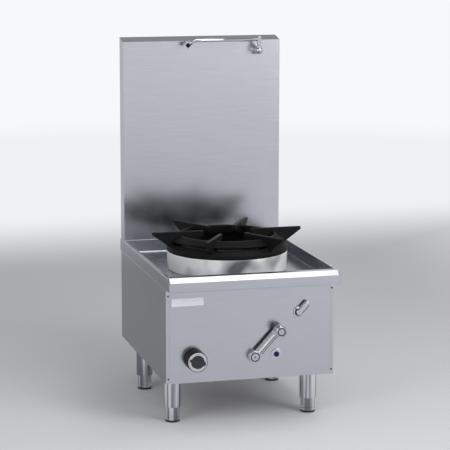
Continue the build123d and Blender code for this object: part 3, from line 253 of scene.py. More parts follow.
def bright_stainless(colours):
    """Bright rolled stainless sheet, bent into a ring. Its mirror look is painted: a pale, near-white,
    mostly diffuse colour as painted reflection, with soft upright darker stripes as painted reflections of
    dark surroundings. Where it faces the flame inside the ring it is burnt dark."""
    # Mostly diffuse, so that its near-white colour paints the brightness of a mirror.
    material, tree, shader = new_material("bright_rolled_stainless_painted_reflection", Metallic=0.2)
    # Painted reflection: upright stripes of a darker grey stand for dark surroundings mirrored in the drum;
    # they also set its roughness.
    painted_reflection_streaks = noise(tree, (95, 95, 130), detail=1)
    soot = noise(tree, 18, detail=4)
    coordinates = add_node(tree, "ShaderNodeTexCoord").outputs
    outward = coordinates["Object"]
    steps = (("SUBTRACT", (0, DRUM_Y * MILLIMETRE, 0)), ("MULTIPLY", (1, 1, 0)), ("NORMALIZE", (0, 0, 0)))
    for operation, other in steps:
        outward = add_node(
            tree, "ShaderNodeVectorMath", {"operation": operation, 1: other}, {0: outward}).outputs["Vector"]
    facing = add_node(
        tree, "ShaderNodeVectorMath", {"operation": "DOT_PRODUCT"},
        {0: outward, 1: coordinates["Normal"]}).outputs["Value"]
    inside = (1, 0, -0.9, -0.5)
    burnt, smooth, sooty = (
        add_node(tree, "ShaderNodeMapRange", stretch(*limits), {"Value": pattern}).outputs["Result"]
        for pattern, limits in ((facing, inside), (painted_reflection_streaks, (0.34, 0.44)), (soot, ())))
    dark = add_node(
        tree, "ShaderNodeMix", {"data_type": "RGBA", 6: colours.soot, 7: linear("#3a322e")},
        {0: sooty}).outputs[2]
    rougher = {"operation": "MULTIPLY_ADD", 1: 0.3}
    rough = add_node(tree, "ShaderNodeMath", rougher, {0: burnt, 2: smooth}).outputs["Value"]
    dress(
        tree, shader,
        [colours.bright_steel, (linear("#66686d"), painted_reflection_streaks, 0, 1, 0.49, 0.74), (dark, facing, *inside)],
        (rough, 0, 1, 0, 1),
        [(noise(tree, (60, 60, 400), detail=1), 0.05)])
    return material


def chrome_plate(colours):
    """Chrome over polished brass or zinc: a clean mirror with faint water spots."""
    material, tree, shader = new_material("chrome_plate", Metallic=1.0)
    spots = noise(tree, 4, detail=4)
    dress(tree, shader, [colours.chrome, (colours.steel_dark, spots)], (spots, 0.05, 0.12, 0.4, 0.8))
    return material


def satin_forging(colours):
    """Forged and plated lever, linished by hand: short scratches and softly uneven faces."""
    material, tree, shader = new_material("satin_plated_forging", Metallic=1.0)
    scratches = noise(tree, (9, 9, 0.8), detail=4)
    dress(
        tree, shader, [colours.steel, (colours.chrome, scratches)], (scratches, 0.14, 0.26),
        [(noise(tree, 14, detail=2), 0.12)])
    return material


def enamelled_iron(colours):
    """Cast iron under matt black enamel: sand grain under the glaze, and edges where pans wore it grey."""
    material, tree, shader = new_material(
        "black_enamelled_cast_iron", **{"IOR": 1.5, "Specular IOR Level": 0.18})
    sand = noise(tree, 1.6)
    swell = noise(tree, 22, detail=2)
    edge = add_node(tree, "ShaderNodeNewGeometry").outputs["Pointiness"]
    dress(
        tree, shader,
        [colours.enamel,
         (linear("#0e0e0f"), swell, 0, 0.5),
         (colours.worn_enamel, edge, 0, 0.55, 0.53, 0.6)],
        (sand, 0.5, 0.66), [(swell, 0.4), (sand, 0.12)])
    return material


def bare_iron(colours):
    """Grey cast iron straight from the sand mould: dull, grainy, with brown heat staining."""
    material, tree, shader = new_material("bare_grey_cast_iron", Metallic=0.3)
    sand = noise(tree, 1.8, detail=4)
    stain = noise(tree, 35, detail=4)
    dress(tree, shader, [colours.iron, (linear("#332b26"), stain)], (sand, 0.55, 0.8), [(sand, 0.2)])
    return material


def plain_steel(name, light, dark, rough):
    """Plated or rolled steel that isn't polished: a crystalline or scaly mottle in two greys."""
    material, tree, shader = new_material(name, Metallic=1.0)
    mottle = noise(tree, 5, detail=4)
    dress(
        tree, shader, [linear(dark), (linear(light), mottle)], (mottle, rough - 0.07, rough + 0.08),
        [(noise(tree, 0.8, detail=2), 0.01)])
    return material


def tube_stainless(colours):
    """Welded stainless tube, drawn and ring polished: bright, with soft darker stripes along the tube that
    are painted reflections of the surroundings, and fine polishing lines that run round it."""
    material, tree, shader = new_material("polished_stainless_tube", Metallic=1.0)
    rings = noise(tree, (40, 40, 0.7))
    # Painted reflection: soft darker stripes along the tube, as a polished tube mirrors its surroundings.
    painted_reflection_bands = noise(tree, (15, 15, 700), detail=1)
    dress(
        tree, shader,
        [colours.tube, (linear("#eceef2"), rings), (linear("#85888f"), painted_reflection_bands, 0, 1, 0.42, 0.6)],
        (rings, 0.09, 0.15), [(rings, 0.004)])
    return material


def turned_metal(name, light, dark, rough):
    """Brass or copper with handling tarnish: warm colour that darkens in soft patches."""
    material, tree, shader = new_material(name, Metallic=1.0)
    tarnish = noise(tree, 12, detail=5)
    dress(
        tree, shader, [linear(light), (linear(dark), tarnish)], (tarnish, rough - 0.06, rough + 0.12),
        [(noise(tree, (6, 0.6, 6)), 0.008)])
    return material


def moulded_plastic(name, colour, rough, shine):
    """Moulded thermoset or ABS: the fine leathery grain of the mould and slightly rubbed gloss."""
    material, tree, shader = new_material(name, **{"IOR": 1.49, "Specular IOR Level": shine})
    rubbed = noise(tree, 15)
    lighter = tuple(min(1, 1.5 * c + 0.004) for c in colour[:3]) + (1,)
    dress(
        tree, shader, [colour, (lighter, rubbed, 0, 0.4)], (rubbed, rough - 0.06, rough + 0.08),
        [(noise(tree, 0.7, detail=2), 0.02)])
    return material


def glazed_ceramic():
    """Steatite ceramic with a clear glaze: smooth, warm white, faintly speckled."""
    material, tree, shader = new_material("glazed_steatite", IOR=1.55)
    speck = noise(tree, 1, detail=2)
    dress(tree, shader, [linear("#e9e4d8"), (linear("#f3efe6"), speck)], (speck, 0.16, 0.24))
    return material


def moulded_rubber():
    """Moulded black rubber: no shine, faint bloom and dust."""
    material, tree, shader = new_material("moulded_rubber", IOR=1.52)
    bloom = noise(tree, 8, detail=4)
    dress(tree, shader, [linear("#19191b"), (linear("#2b2b2d"), bloom)], (bloom, 0.7, 0.85), [(bloom, 0.05)])
    return material


def badge_enamel(colours):
    """Thin steel plate under plain pale enamel: glossy, with the slight ripple of fired glaze."""
    material, tree, shader = new_material("pale_plate_enamel", IOR=1.5)
    ripple = noise(tree, 6, detail=2)
    dress(tree, shader, [colours.badge, (linear("#d8dce6"), ripple)], (ripple, 0.18, 0.26), [(ripple, 0.03)])
    return material


def largest(tree, values):
    """The largest of several values at each point."""
    most = values[0]
    for value in values[1:]:
        most = add_node(
            tree, "ShaderNodeMath", {"operation": "MAXIMUM"}, {0: most, 1: value}).outputs["Value"]
    return most


def floor_paper(colours):
    """Seamless studio paper: pale, matt, with a barely visible tooth. Far from the range, where no lamp
    reaches it, the camera and the reflections see it as pale as the horizon of the studio."""
    material, tree, shader = new_material("pale_studio_paper", Roughness=0.9)
    dress(tree, shader, [colours.floor, (linear("#dcdde1"), noise(tree, 3, detail=2), 0, 0.3)])
    place = add_node(tree, "ShaderNodeNewGeometry").outputs["Position"]
    distance = add_node(tree, "ShaderNodeVectorMath", {"operation": "LENGTH"}, {0: place}).outputs["Value"]
    along = add_node(tree, "ShaderNodeSeparateXYZ", (), {0: place}).outputs
    aside = add_node(tree, "ShaderNodeMath", {"operation": "ABSOLUTE"}, {0: along["X"]}).outputs["Value"]
    faded = []
    ways = ((distance, 2.2, 9, 1), (along["Y"], 2.4, 4.2, 0.9), (aside, 1.2, 3.4, 0.9))
    for way, start, end, most in ways:
        settings = {"interpolation_type": "SMOOTHSTEP", **stretch(0, most, start, end)}
        faded.append(add_node(tree, "ShaderNodeMapRange", settings, {"Value": way}).outputs["Result"])
    # Only the camera and mirrored and refracted rays see the far floor as pale. It lights nothing.
    path = add_node(tree, "ShaderNodeLightPath").outputs
    seen = [path[f"Is {ray} Ray"] for ray in ("Camera", "Glossy", "Transmission")]
    share = add_node(
        tree, "ShaderNodeMath", {"operation": "MULTIPLY"},
        {0: largest(tree, faded), 1: largest(tree, seen)}).outputs["Value"]
    pale = add_node(tree, "ShaderNodeEmission", {"Color": linear("#f7f8fb"), "Strength": 1})
    mix = add_node(
        tree, "ShaderNodeMixShader", (), {0: share, 1: shader.outputs["BSDF"], 2: pale.outputs["Emission"]})
    output = next(node for node in tree.nodes if node.type == "OUTPUT_MATERIAL")
    tree.links.new(mix.outputs["Shader"], output.inputs["Surface"])
    return material


def give(material, names, edge=0):
    """Puts a finish on CAD nodes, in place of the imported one, and rounds their edges to a radius."""
    for name in names:
        mesh = nodes[name].data
        mesh.materials.clear()
        mesh.materials.append(material)
        if edge:
            soften(nodes[name], edge)


def weld(item):
    """Joins the corners that the faces of a CAD solid have in common."""
    joined = item.modifiers.new("weld", "WELD")
    joined.merge_threshold = 0.01 * MILLIMETRE


def soften(item, width):
    """Rounds the sharp edges of a CAD solid with modifiers, so that they catch the light."""
    weld(item)
    flats = item.modifiers.new("flats", "DECIMATE")
    flats.decimate_type = "DISSOLVE"
    flats.angle_limit = math.radians(0.5)
    round_edges(item, width, 35)


def round_edges(item, width, angle):
    """A bevel on the edges that are sharper than an angle in degrees."""
    bevel = item.modifiers.new("edge", "BEVEL")
    bevel.width = width
    bevel.segments = 2
    bevel.limit_method = "ANGLE"
    bevel.angle_limit = math.radians(angle)
    keep_flats(item)


def keep_flats(item):
    """Normals that keep flat faces flat beside their rounded edges."""
    shading = item.modifiers.new("shading", "WEIGHTED_NORMAL")
    shading.mode = "FACE_AREA_WITH_ANGLE"
    shading.weight = 50


def cast(item, cell, smoothing):
    """Melts the bodies of a piece into one skin with rounded inner and outer corners, as a casting has."""
    remesh = item.modifiers.new("casting", "REMESH")
    remesh.mode = "VOXEL"
    remesh.voxel_size = cell
    remesh.use_smooth_shade = True
    smooth = item.modifiers.new("sand", "SMOOTH")
    smooth.factor = 0.5
    smooth.iterations = smoothing


def new_object(name, data):
    """Puts a new object into the scene."""
    item = bpy.data.objects.new(name, data)
    bpy.context.scene.collection.objects.link(item)
    return item


def new_piece(name, mesh, material, body):
    """A mesh as a piece of the range that rides on a body."""
    item = new_object(name, mesh)
    mesh.materials.clear()
    mesh.materials.append(material)
    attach(item, body)
    return item


def shaped_piece(name, shape, material, body):
    """Turns a mesh in the making into a piece of the range."""
    return new_piece(name, finished_mesh(name, shape), material, body)


def bare_mesh(name, shape):
    """Turns a mesh in the making into mesh data as it is."""
    mesh = bpy.data.meshes.new(name)
    shape.to_mesh(mesh)
    shape.free()
    return mesh


def finished_mesh(name, shape):
    """Welds a mesh in the making, turns its faces outward, shades it smooth and returns it."""
    bmesh.ops.remove_doubles(shape, verts=shape.verts, dist=0.001 * MILLIMETRE)
    bmesh.ops.dissolve_degenerate(shape, edges=shape.edges, dist=0.001 * MILLIMETRE)
    bmesh.ops.recalc_face_normals(shape, faces=shape.faces)
    for face in shape.faces:
        face.smooth = True
    return bare_mesh(name, shape)


def upright(x, y, z):
    """A place in millimetres whose Z axis points up."""
    return Matrix.Translation(Vector((x, y, z)) * MILLIMETRE)


def facing_front(x, y, z, angle=0):
    """A place in millimetres whose Z axis points to the front, and whose X axis is turned up by an angle."""
    return upright(x, y, z) @ Matrix.Rotation(math.radians(90), 4, "X") @ Matrix.Rotation(angle, 4, "Z")


def arc(before, corner, after, bend, steps):
    """The points of an arc that rounds a corner between the points before and after it."""
    back = (before - corner).normalized()
    ahead = (after - corner).normalized()
    half = back.angle(ahead) / 2
    centre = corner + (back + ahead).normalized() * bend / math.sin(half)
    start = corner + back * bend / math.tan(half) - centre
    end = corner + ahead * bend / math.tan(half) - centre
    return [centre + bend * start.slerp(end, step / steps).normalized() for step in range(steps + 1)]


def round_corners(corners):
    """Turns the corners of a closed outline into arcs. Each corner is (radius, height, rounding)."""
    spots = [Vector(corner[:2]) for corner in corners]
    points = []
    for index, (*_, rounding) in enumerate(corners):
        if rounding:
            points += arc(spots[index - 1], spots[index], spots[(index + 1) % len(spots)], rounding, 5)
        else:
            points.append(spots[index])
    return points


def square_ring(inner, outer, low, high, rounding=0):
    """The outline of a ring of square section, or of a disc where the inner radius is 0, for the lathe."""
    inner_rounding = rounding if inner else 0
    return [(inner, low, 0), (outer, low, 0), (outer, high, rounding), (inner, high, inner_rounding)]


def skin(shape, loops):
    """Adds the faces between neighbouring closed loops of vertices."""
    for near, far in zip(loops, loops[1:]):
        for index in range(len(near)):
            shape.faces.new((near[index - 1], near[index], far[index], far[index - 1]))


def turn_on_lathe(shape, corners, place, steps=144, ripple_mm=0, ripples=0):
    """Adds a turned ring or knob to a mesh, from the millimetre corners of its outline about the Z axis
    of the place. Ripples make the radius swell and shrink round the turn, as in a hand-laid weld."""
    outline = round_corners(corners)
    rings = []
    for step in range(steps):
        angle = 2 * math.pi * step / steps
        swell = ripple_mm * math.sin(ripples * angle)
        ring = []
        for radius, height in outline:
            reach = (radius + swell) * MILLIMETRE if radius else 0
            spot = Vector((reach * math.cos(angle), reach * math.sin(angle), height * MILLIMETRE))
            ring.append(shape.verts.new(place @ spot))
        rings.append(ring)
    skin(shape, rings + rings[:1])


def lathe_piece(name, place, corners, material, body, stands_for=None, steps=144):
    """One turned piece, which may stand for a CAD node."""
    shape = bmesh.new()
    turn_on_lathe(shape, corners, place, steps)
    item = shaped_piece(name, shape, material, body)
    keep_flats(item)
    if stands_for:
        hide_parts(stands_for)


def round_ended_bar(shape, place, length, layers, steps=24):
    """Adds a bar with two round ends, from (half width, height) layers in millimetres. The axis of the first
    end is the place's Z axis, and the bar runs along X."""
    loops = []
    for half_width, height in layers:
        loop = []
        for end, start in ((length, -90), (0, 90)):
            for step in range(steps + 1):
                angle = math.radians(start + 180 * step / steps)
                spot = (end + half_width * math.cos(angle), half_width * math.sin(angle), height)
                loop.append(shape.verts.new(place @ (Vector(spot) * MILLIMETRE)))
        loops.append(loop)
    skin(shape, loops)
    shape.faces.new(reversed(loops[0]))
    shape.faces.new(loops[-1])


def bent_tube(shape, points, bend, radius, sides=48, steps=18):
    """Adds a round tube along millimetre points that lie in one plane parallel to the splashback."""
    path = [points[0]]
    for before, corner, after in zip(points, points[1:], points[2:]):
        path += arc(before, corner, after, bend, steps)
    path.append(points[-1])
    across = Vector((0, 1, 0))
    rings = []
    for index, spot in enumerate(path):
        run = path[min(index + 1, len(path) - 1)] - path[max(index - 1, 0)]
        up = across.cross(run).normalized()
        ring = []
        for side in range(sides):
            angle = 2 * math.pi * side / sides
            edge = spot + radius * (math.cos(angle) * up + math.sin(angle) * across)
            ring.append(shape.verts.new(edge * MILLIMETRE))
        rings.append(ring)
    skin(shape, rings)
    shape.faces.new(rings[0])
    shape.faces.new(reversed(rings[-1]))


def round_rod(shape, start, end, radius, sides=20, dome_steps=4):
    """Adds a straight round rod between two millimetre points, with domed ends."""
    start, end = Vector(start), Vector(end)
    length = (end - start).length
    outline = [(0, 0, 0)]
    for step in range(1, dome_steps + 1):
        angle = math.radians(90 * step / dome_steps)
        outline.append((radius * math.sin(angle), radius * (1 - math.cos(angle)), 0))
    outline += [(across, length - along, 0) for across, along, _ in reversed(outline)]
    turn = (end - start).to_track_quat("Z", "Y").to_matrix().to_4x4()
    turn_on_lathe(shape, outline, Matrix.Translation(start * MILLIMETRE) @ turn, steps=sides)


def add_block(shape, low, high):
    """Adds a block between two corners in metres, and returns its edges."""
    scale = Matrix.Diagonal((*(high - low), 1))
    made = bmesh.ops.create_cube(shape, size=1, matrix=Matrix.Translation((low + high) / 2) @ scale)
    return {edge for vert in made["verts"] for edge in vert.link_edges}


def bevel_edges(shape, edges, radius, segments):
    """Rounds some edges of a mesh in the making."""
    bmesh.ops.bevel(shape, geom=edges, offset=radius, segments=segments, profile=0.5, affect="EDGES")


def tub(across, deep, tall, bend):
    """A block between millimetre limits whose bottom edges are rounded, to press a tray with."""
    shape = bmesh.new()
    low, high = (Vector(corner) * MILLIMETRE for corner in zip(across, deep, tall))
    edges = add_block(shape, low, high)
    bottom = [e for e in edges if all(v.co.z < low.z + MILLIMETRE for v in e.verts)]
    bevel_edges(shape, bottom, bend * MILLIMETRE, 6)
    return new_object("tub", finished_mesh("tub", shape))


def round_plug(place, radius, half_height):
    """A round block about a millimetre place, to punch a hole with."""
    shape = bmesh.new()
    turn_on_lathe(shape, square_ring(0, radius, -half_height, half_height), upright(*place), steps=96)
    return new_object("plug", finished_mesh("plug", shape))


def finishes():
    """The colours that every step reads."""
    return bpy.context.scene.range_colours


def sizes():
    """The sizes that every step reads."""
    return bpy.context.scene.range_sizes


class RANGE_OT_sheets(bpy.types.Operator):
    """Brushed finish on the cabinet, hob and splashback sheets, with their hems and beads"""
    bl_idname = "range.sheets"
    bl_label = "Sheet metal"

    def execute(self, context):
        steel = brushed_stainless("brushed_stainless_panels", "X", finishes(), 0.19)
        side_steel_painted_shade = brushed_stainless("brushed_stainless_sides", "Y", finishes(), 0.17)
        bend = sizes().sheet_bend
        give(steel, ("front_panel", "rear_panel", "splash_panel", "splash_cover"), bend)
        give(side_steel_painted_shade, ("left_side_panel", "right_side_panel"), bend)
        self.hob(steel, bend)
        self.beads(steel)
        return {"FINISHED"}

    def hob(self, steel, bend):
        """The pressed top sheet, with its spill tray drawn to the tight corners of the real press tool."""
        shape = new_object("hob_sheet", nodes["hob_top"].data.copy())
        sheet, cut, under_rim, over_rim = 1.6, 0.05, 0.5, 20
        side, front, rear = TRAY_SIDE_X, TRAY_FRONT_Y, SPLASH_Y
        tools = (
            ("UNION", tub((-side - sheet, side + sheet), (front - sheet, rear + sheet),
                          (TRAY_FLOOR_Z - sheet, HOB_Z - under_rim), TRAY_BEND + sheet)),
            ("DIFFERENCE", tub((-side - cut, side + cut), (front - cut, rear + cut),
                               (TRAY_FLOOR_Z - cut, HOB_Z + over_rim), TRAY_BEND)),
            ("DIFFERENCE", round_plug((0, DRUM_Y, TRAY_FLOOR_Z), DRUM_RADIUS - DRUM_FOOT, 10)))
        for operation, tool in tools:
            boolean = shape.modifiers.new("press", "BOOLEAN")
            boolean.operation = operation
            boolean.solver = "EXACT"
            boolean.object = tool
        mesh = bpy.data.meshes.new_from_object(shape.evaluated_get(bpy.context.evaluated_depsgraph_get()))
        for item in (shape, *(tool for _, tool in tools)):
            bpy.data.objects.remove(item)
        item = new_piece("hob_sheet", mesh, steel, "cabinet")
        soften(item, bend)
        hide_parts("hob_top")

    def beads(self, steel):
        """Rolled hems along the lower edges of the hob's sides, and the bead where the splashback stands."""
        front, rear, hem = -368, 398, 1.6
        shape = bmesh.new()
        for x in (-SKIRT_X, SKIRT_X):
            round_rod(shape, (x, front, SKIRT_Z), (x, rear, SKIRT_Z), hem)
        shaped_piece("skirt_hems", shape, steel, "cabinet")
        reach, height, bead = 299, HOB_Z + 0.6, 1.3
        shape = bmesh.new()
        round_rod(shape, (-reach, SPLASH_Y, height), (reach, SPLASH_Y, height), bead)
        shaped_piece("splash_foot_bead", shape, steel, "cabinet")


class RANGE_OT_drum(bpy.types.Operator):
    """Rolled drum under the pan support, with bent edges and a burnt inside"""
    bl_idname = "range.drum"
    bl_label = "Drum"

    def execute(self, context):
        sheet, bend, rim, flare, cut = 1.5, 3.5, 7, 2, 0.5
        corners = [
            (DRUM_RADIUS - DRUM_FOOT, 0, cut),
            (DRUM_RADIUS - flare, 0, bend),
            (DRUM_RADIUS + flare, DRUM_HEIGHT, bend),
            (DRUM_RADIUS - rim, DRUM_HEIGHT, cut),
            (DRUM_RADIUS - rim, DRUM_HEIGHT - sheet, cut),
            (DRUM_RADIUS + flare - sheet, DRUM_HEIGHT - sheet, bend - sheet),
            (DRUM_RADIUS - flare - sheet, sheet, bend - sheet),
            (DRUM_RADIUS - DRUM_FOOT, sheet, cut),
        ]
        steel = bright_stainless(finishes())
        place = upright(0, DRUM_Y, TRAY_FLOOR_Z)
        lathe_piece("drum_shell", place, corners, steel, "cabinet", "drum", steps=240)
        return {"FINISHED"}


class RANGE_OT_frame(bpy.types.Operator):
    """Finish on the welded frame, legs, feet, brackets and fasteners"""
    bl_idname = "range.frame"
    bl_label = "Frame and legs"

    def execute(self, context):
        give(plain_steel("rolled_frame_steel", "#a9abaf", "#8a8c90", 0.38),
             ("base_frame", "burner_supports", "injector_holder", "pilot_bracket", "pipe_brackets"),
             sizes().edge_break)
        give(plain_steel("zinc_plated_steel", "#c0c4c8", "#9fa3a6", 0.32),
             ("frame_bolts", "air_shutter", "gas_inlet_pipe"))
        give(plain_steel("blackened_steel", "#3a3b3e", "#222326", 0.35), ["panel_screws"])
        tube = tube_stainless(finishes())
        rubber = moulded_rubber()
        for end, (x, y) in LEG_PLACES.items():
            self.leg(end, x, y, tube)
            self.foot(end, x, y, tube, rubber)
        return {"FINISHED"}

    def leg(self, end, x, y, tube):
        """Round tube under a square plate, with the weld bead between them and a guide ring at its foot."""
        shape = bmesh.new()
        ground = upright(x, y, 0)
        radius, bore, guide, low, ledge, top = 30, 28.5, 25.7, 54, 74, 165
        tube_wall = [
            (radius, low, 0.6), (radius, top, 0), (bore, top, 0), (bore, ledge, 0), (guide, ledge, 0.4),
            (guide, low, 0.4)]
        turn_on_lathe(shape, tube_wall, ground, steps=96)
        weld_bead = [(29, top, 0), (29, 161, 0), (30.4, 160.5, 0), (32.8, 162.6, 0), (33.4, top, 0)]
        turn_on_lathe(shape, weld_bead, ground, steps=240, ripple_mm=0.35, ripples=40)
        half_side, plate, rounding = 38, 4, 6
        low_corner = Vector((x - half_side, y - half_side, top)) * MILLIMETRE
        high_corner = Vector((x + half_side, y + half_side, top + plate)) * MILLIMETRE
        edges = add_block(shape, low_corner, high_corner)
        corners = [e for e in edges if abs(e.verts[0].co.z - e.verts[1].co.z) > plate / 2 * MILLIMETRE]
        bevel_edges(shape, corners, rounding * MILLIMETRE, 5)
        item = shaped_piece(f"leg_tube_{end}", shape, tube, "cabinet")
        round_edges(item, sizes().edge_break, 50)
        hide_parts(f"leg_{end}")

    def foot(self, end, x, y, tube, rubber):
        """Sleeve that screws out of the leg, with a groove for a spanner, and a dark pad under it."""
        body = f"foot_{end}"
        ground = upright(x, y, 0)
        radius, bore, pad_top, top = 25.5, 23, 7, 100
        groove = [(radius, 16, 0.5), (radius - 0.8, 17, 0.3), (radius - 0.8, 19, 0.3), (radius, 20, 0.5)]
        sleeve = [(0, pad_top, 0), (radius, pad_top, 1), *groove, (radius, top, 0.5), (bore, top, 0.5),
                  (bore, 12, 0), (0, 12, 0)]
        lathe_piece(f"foot_sleeve_{end}", ground, sleeve, tube, body, f"foot_{end}", steps=96)
        pad = [(0, 0, 0), (radius - 1.4, 0, 0.8), (radius, 1.4, 1), (radius, pad_top, 0.8), (0, pad_top, 0)]
        pad_node = f"foot_pad_{end}"
        lathe_piece(f"foot_tip_{end}", ground, pad, rubber, body, pad_node, steps=96)


class RANGE_OT_trivet(bpy.types.Operator):
    """Pan support with the rounded corners of a sand casting"""
    bl_idname = "range.trivet"
    bl_label = "Pan support"

    def execute(self, context):
        shape = bmesh.new()
        place = upright(0, DRUM_Y, TRIVET_Z)
        base_ring = [
            (196, -6, 0), (206.5, -6, 0), (206.5, 0, 0), (217, 0, 1.5), (217, 15, 3), (204, 30, 3),
            (196, 30, 3)]
        upper_ring = [
            (172, 52, 0), (197, 39, 2), (205, 39, 2), (205, 43, 2), (174, 59, 2), (166, 59, 2), (166, 29, 1),
            (172, 29, 1)]
        for corners in (base_ring, upper_ring):
            turn_on_lathe(shape, corners, place)
        fins = 6
        for index in range(fins):
            self.fin(shape, place @ Matrix.Rotation(2 * math.pi * index / fins, 4, "Z"))
        iron = enamelled_iron(finishes())
        item = shaped_piece("trivet_casting", shape, iron, "trivet")
        cast(item, sizes().casting_cell, 4)
        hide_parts("trivet")
        return {"FINISHED"}

    def fin(self, shape, place):
        """A tall rib that runs out past the rings, with its casting draft towards the top edge."""
        outline = [(88, 72), (275, 72), (275, 63), (215, 20), (204, 8), (197, 8), (88, 54)]
        half_foot, draft = 8.2, 0.02
        left, right = [], []
        for verts, side in ((left, -1), (right, 1)):
            for radius, height in outline:
                spot = Vector((radius, side * (half_foot - draft * height), height)) * MILLIMETRE
                verts.append(shape.verts.new(place @ spot))
        shape.faces.new(left)
        shape.faces.new(reversed(right))
        for index in range(len(outline)):
            shape.faces.new((left[index], left[index - 1], right[index - 1], right[index]))


class RANGE_OT_burner(bpy.types.Operator):
    """Double ring burner with its mixing tube, injector, pilot, sensor and spark electrode"""
    bl_idname = "range.burner"
    bl_label = "Burner"

    def execute(self, context):
        iron = bare_iron(finishes())
        mesh = nodes["burner"].data.copy()
        mesh.name = "burner_casting"
        item = new_piece("burner_casting", mesh, iron, "cabinet")
        weld(item)
        cast(item, 0.8 * sizes().casting_cell, 3)
        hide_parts("burner")
        edge = sizes().edge_break
        give(iron, ["mixing_tube"], edge)
        give(turned_metal("turned_brass", "#c9a35c", "#a07f45", 0.24), ["injector"], edge)
        give(turned_metal("drawn_copper", "#c98a68", "#9a6248", 0.26), ["pilot_burner"])
        give(plain_steel("sensor_steel", "#b4b0ac", "#8c8580", 0.3), ["thermocouple"])
        give(glazed_ceramic(), ["ignition_electrode"])
        return {"FINISHED"}


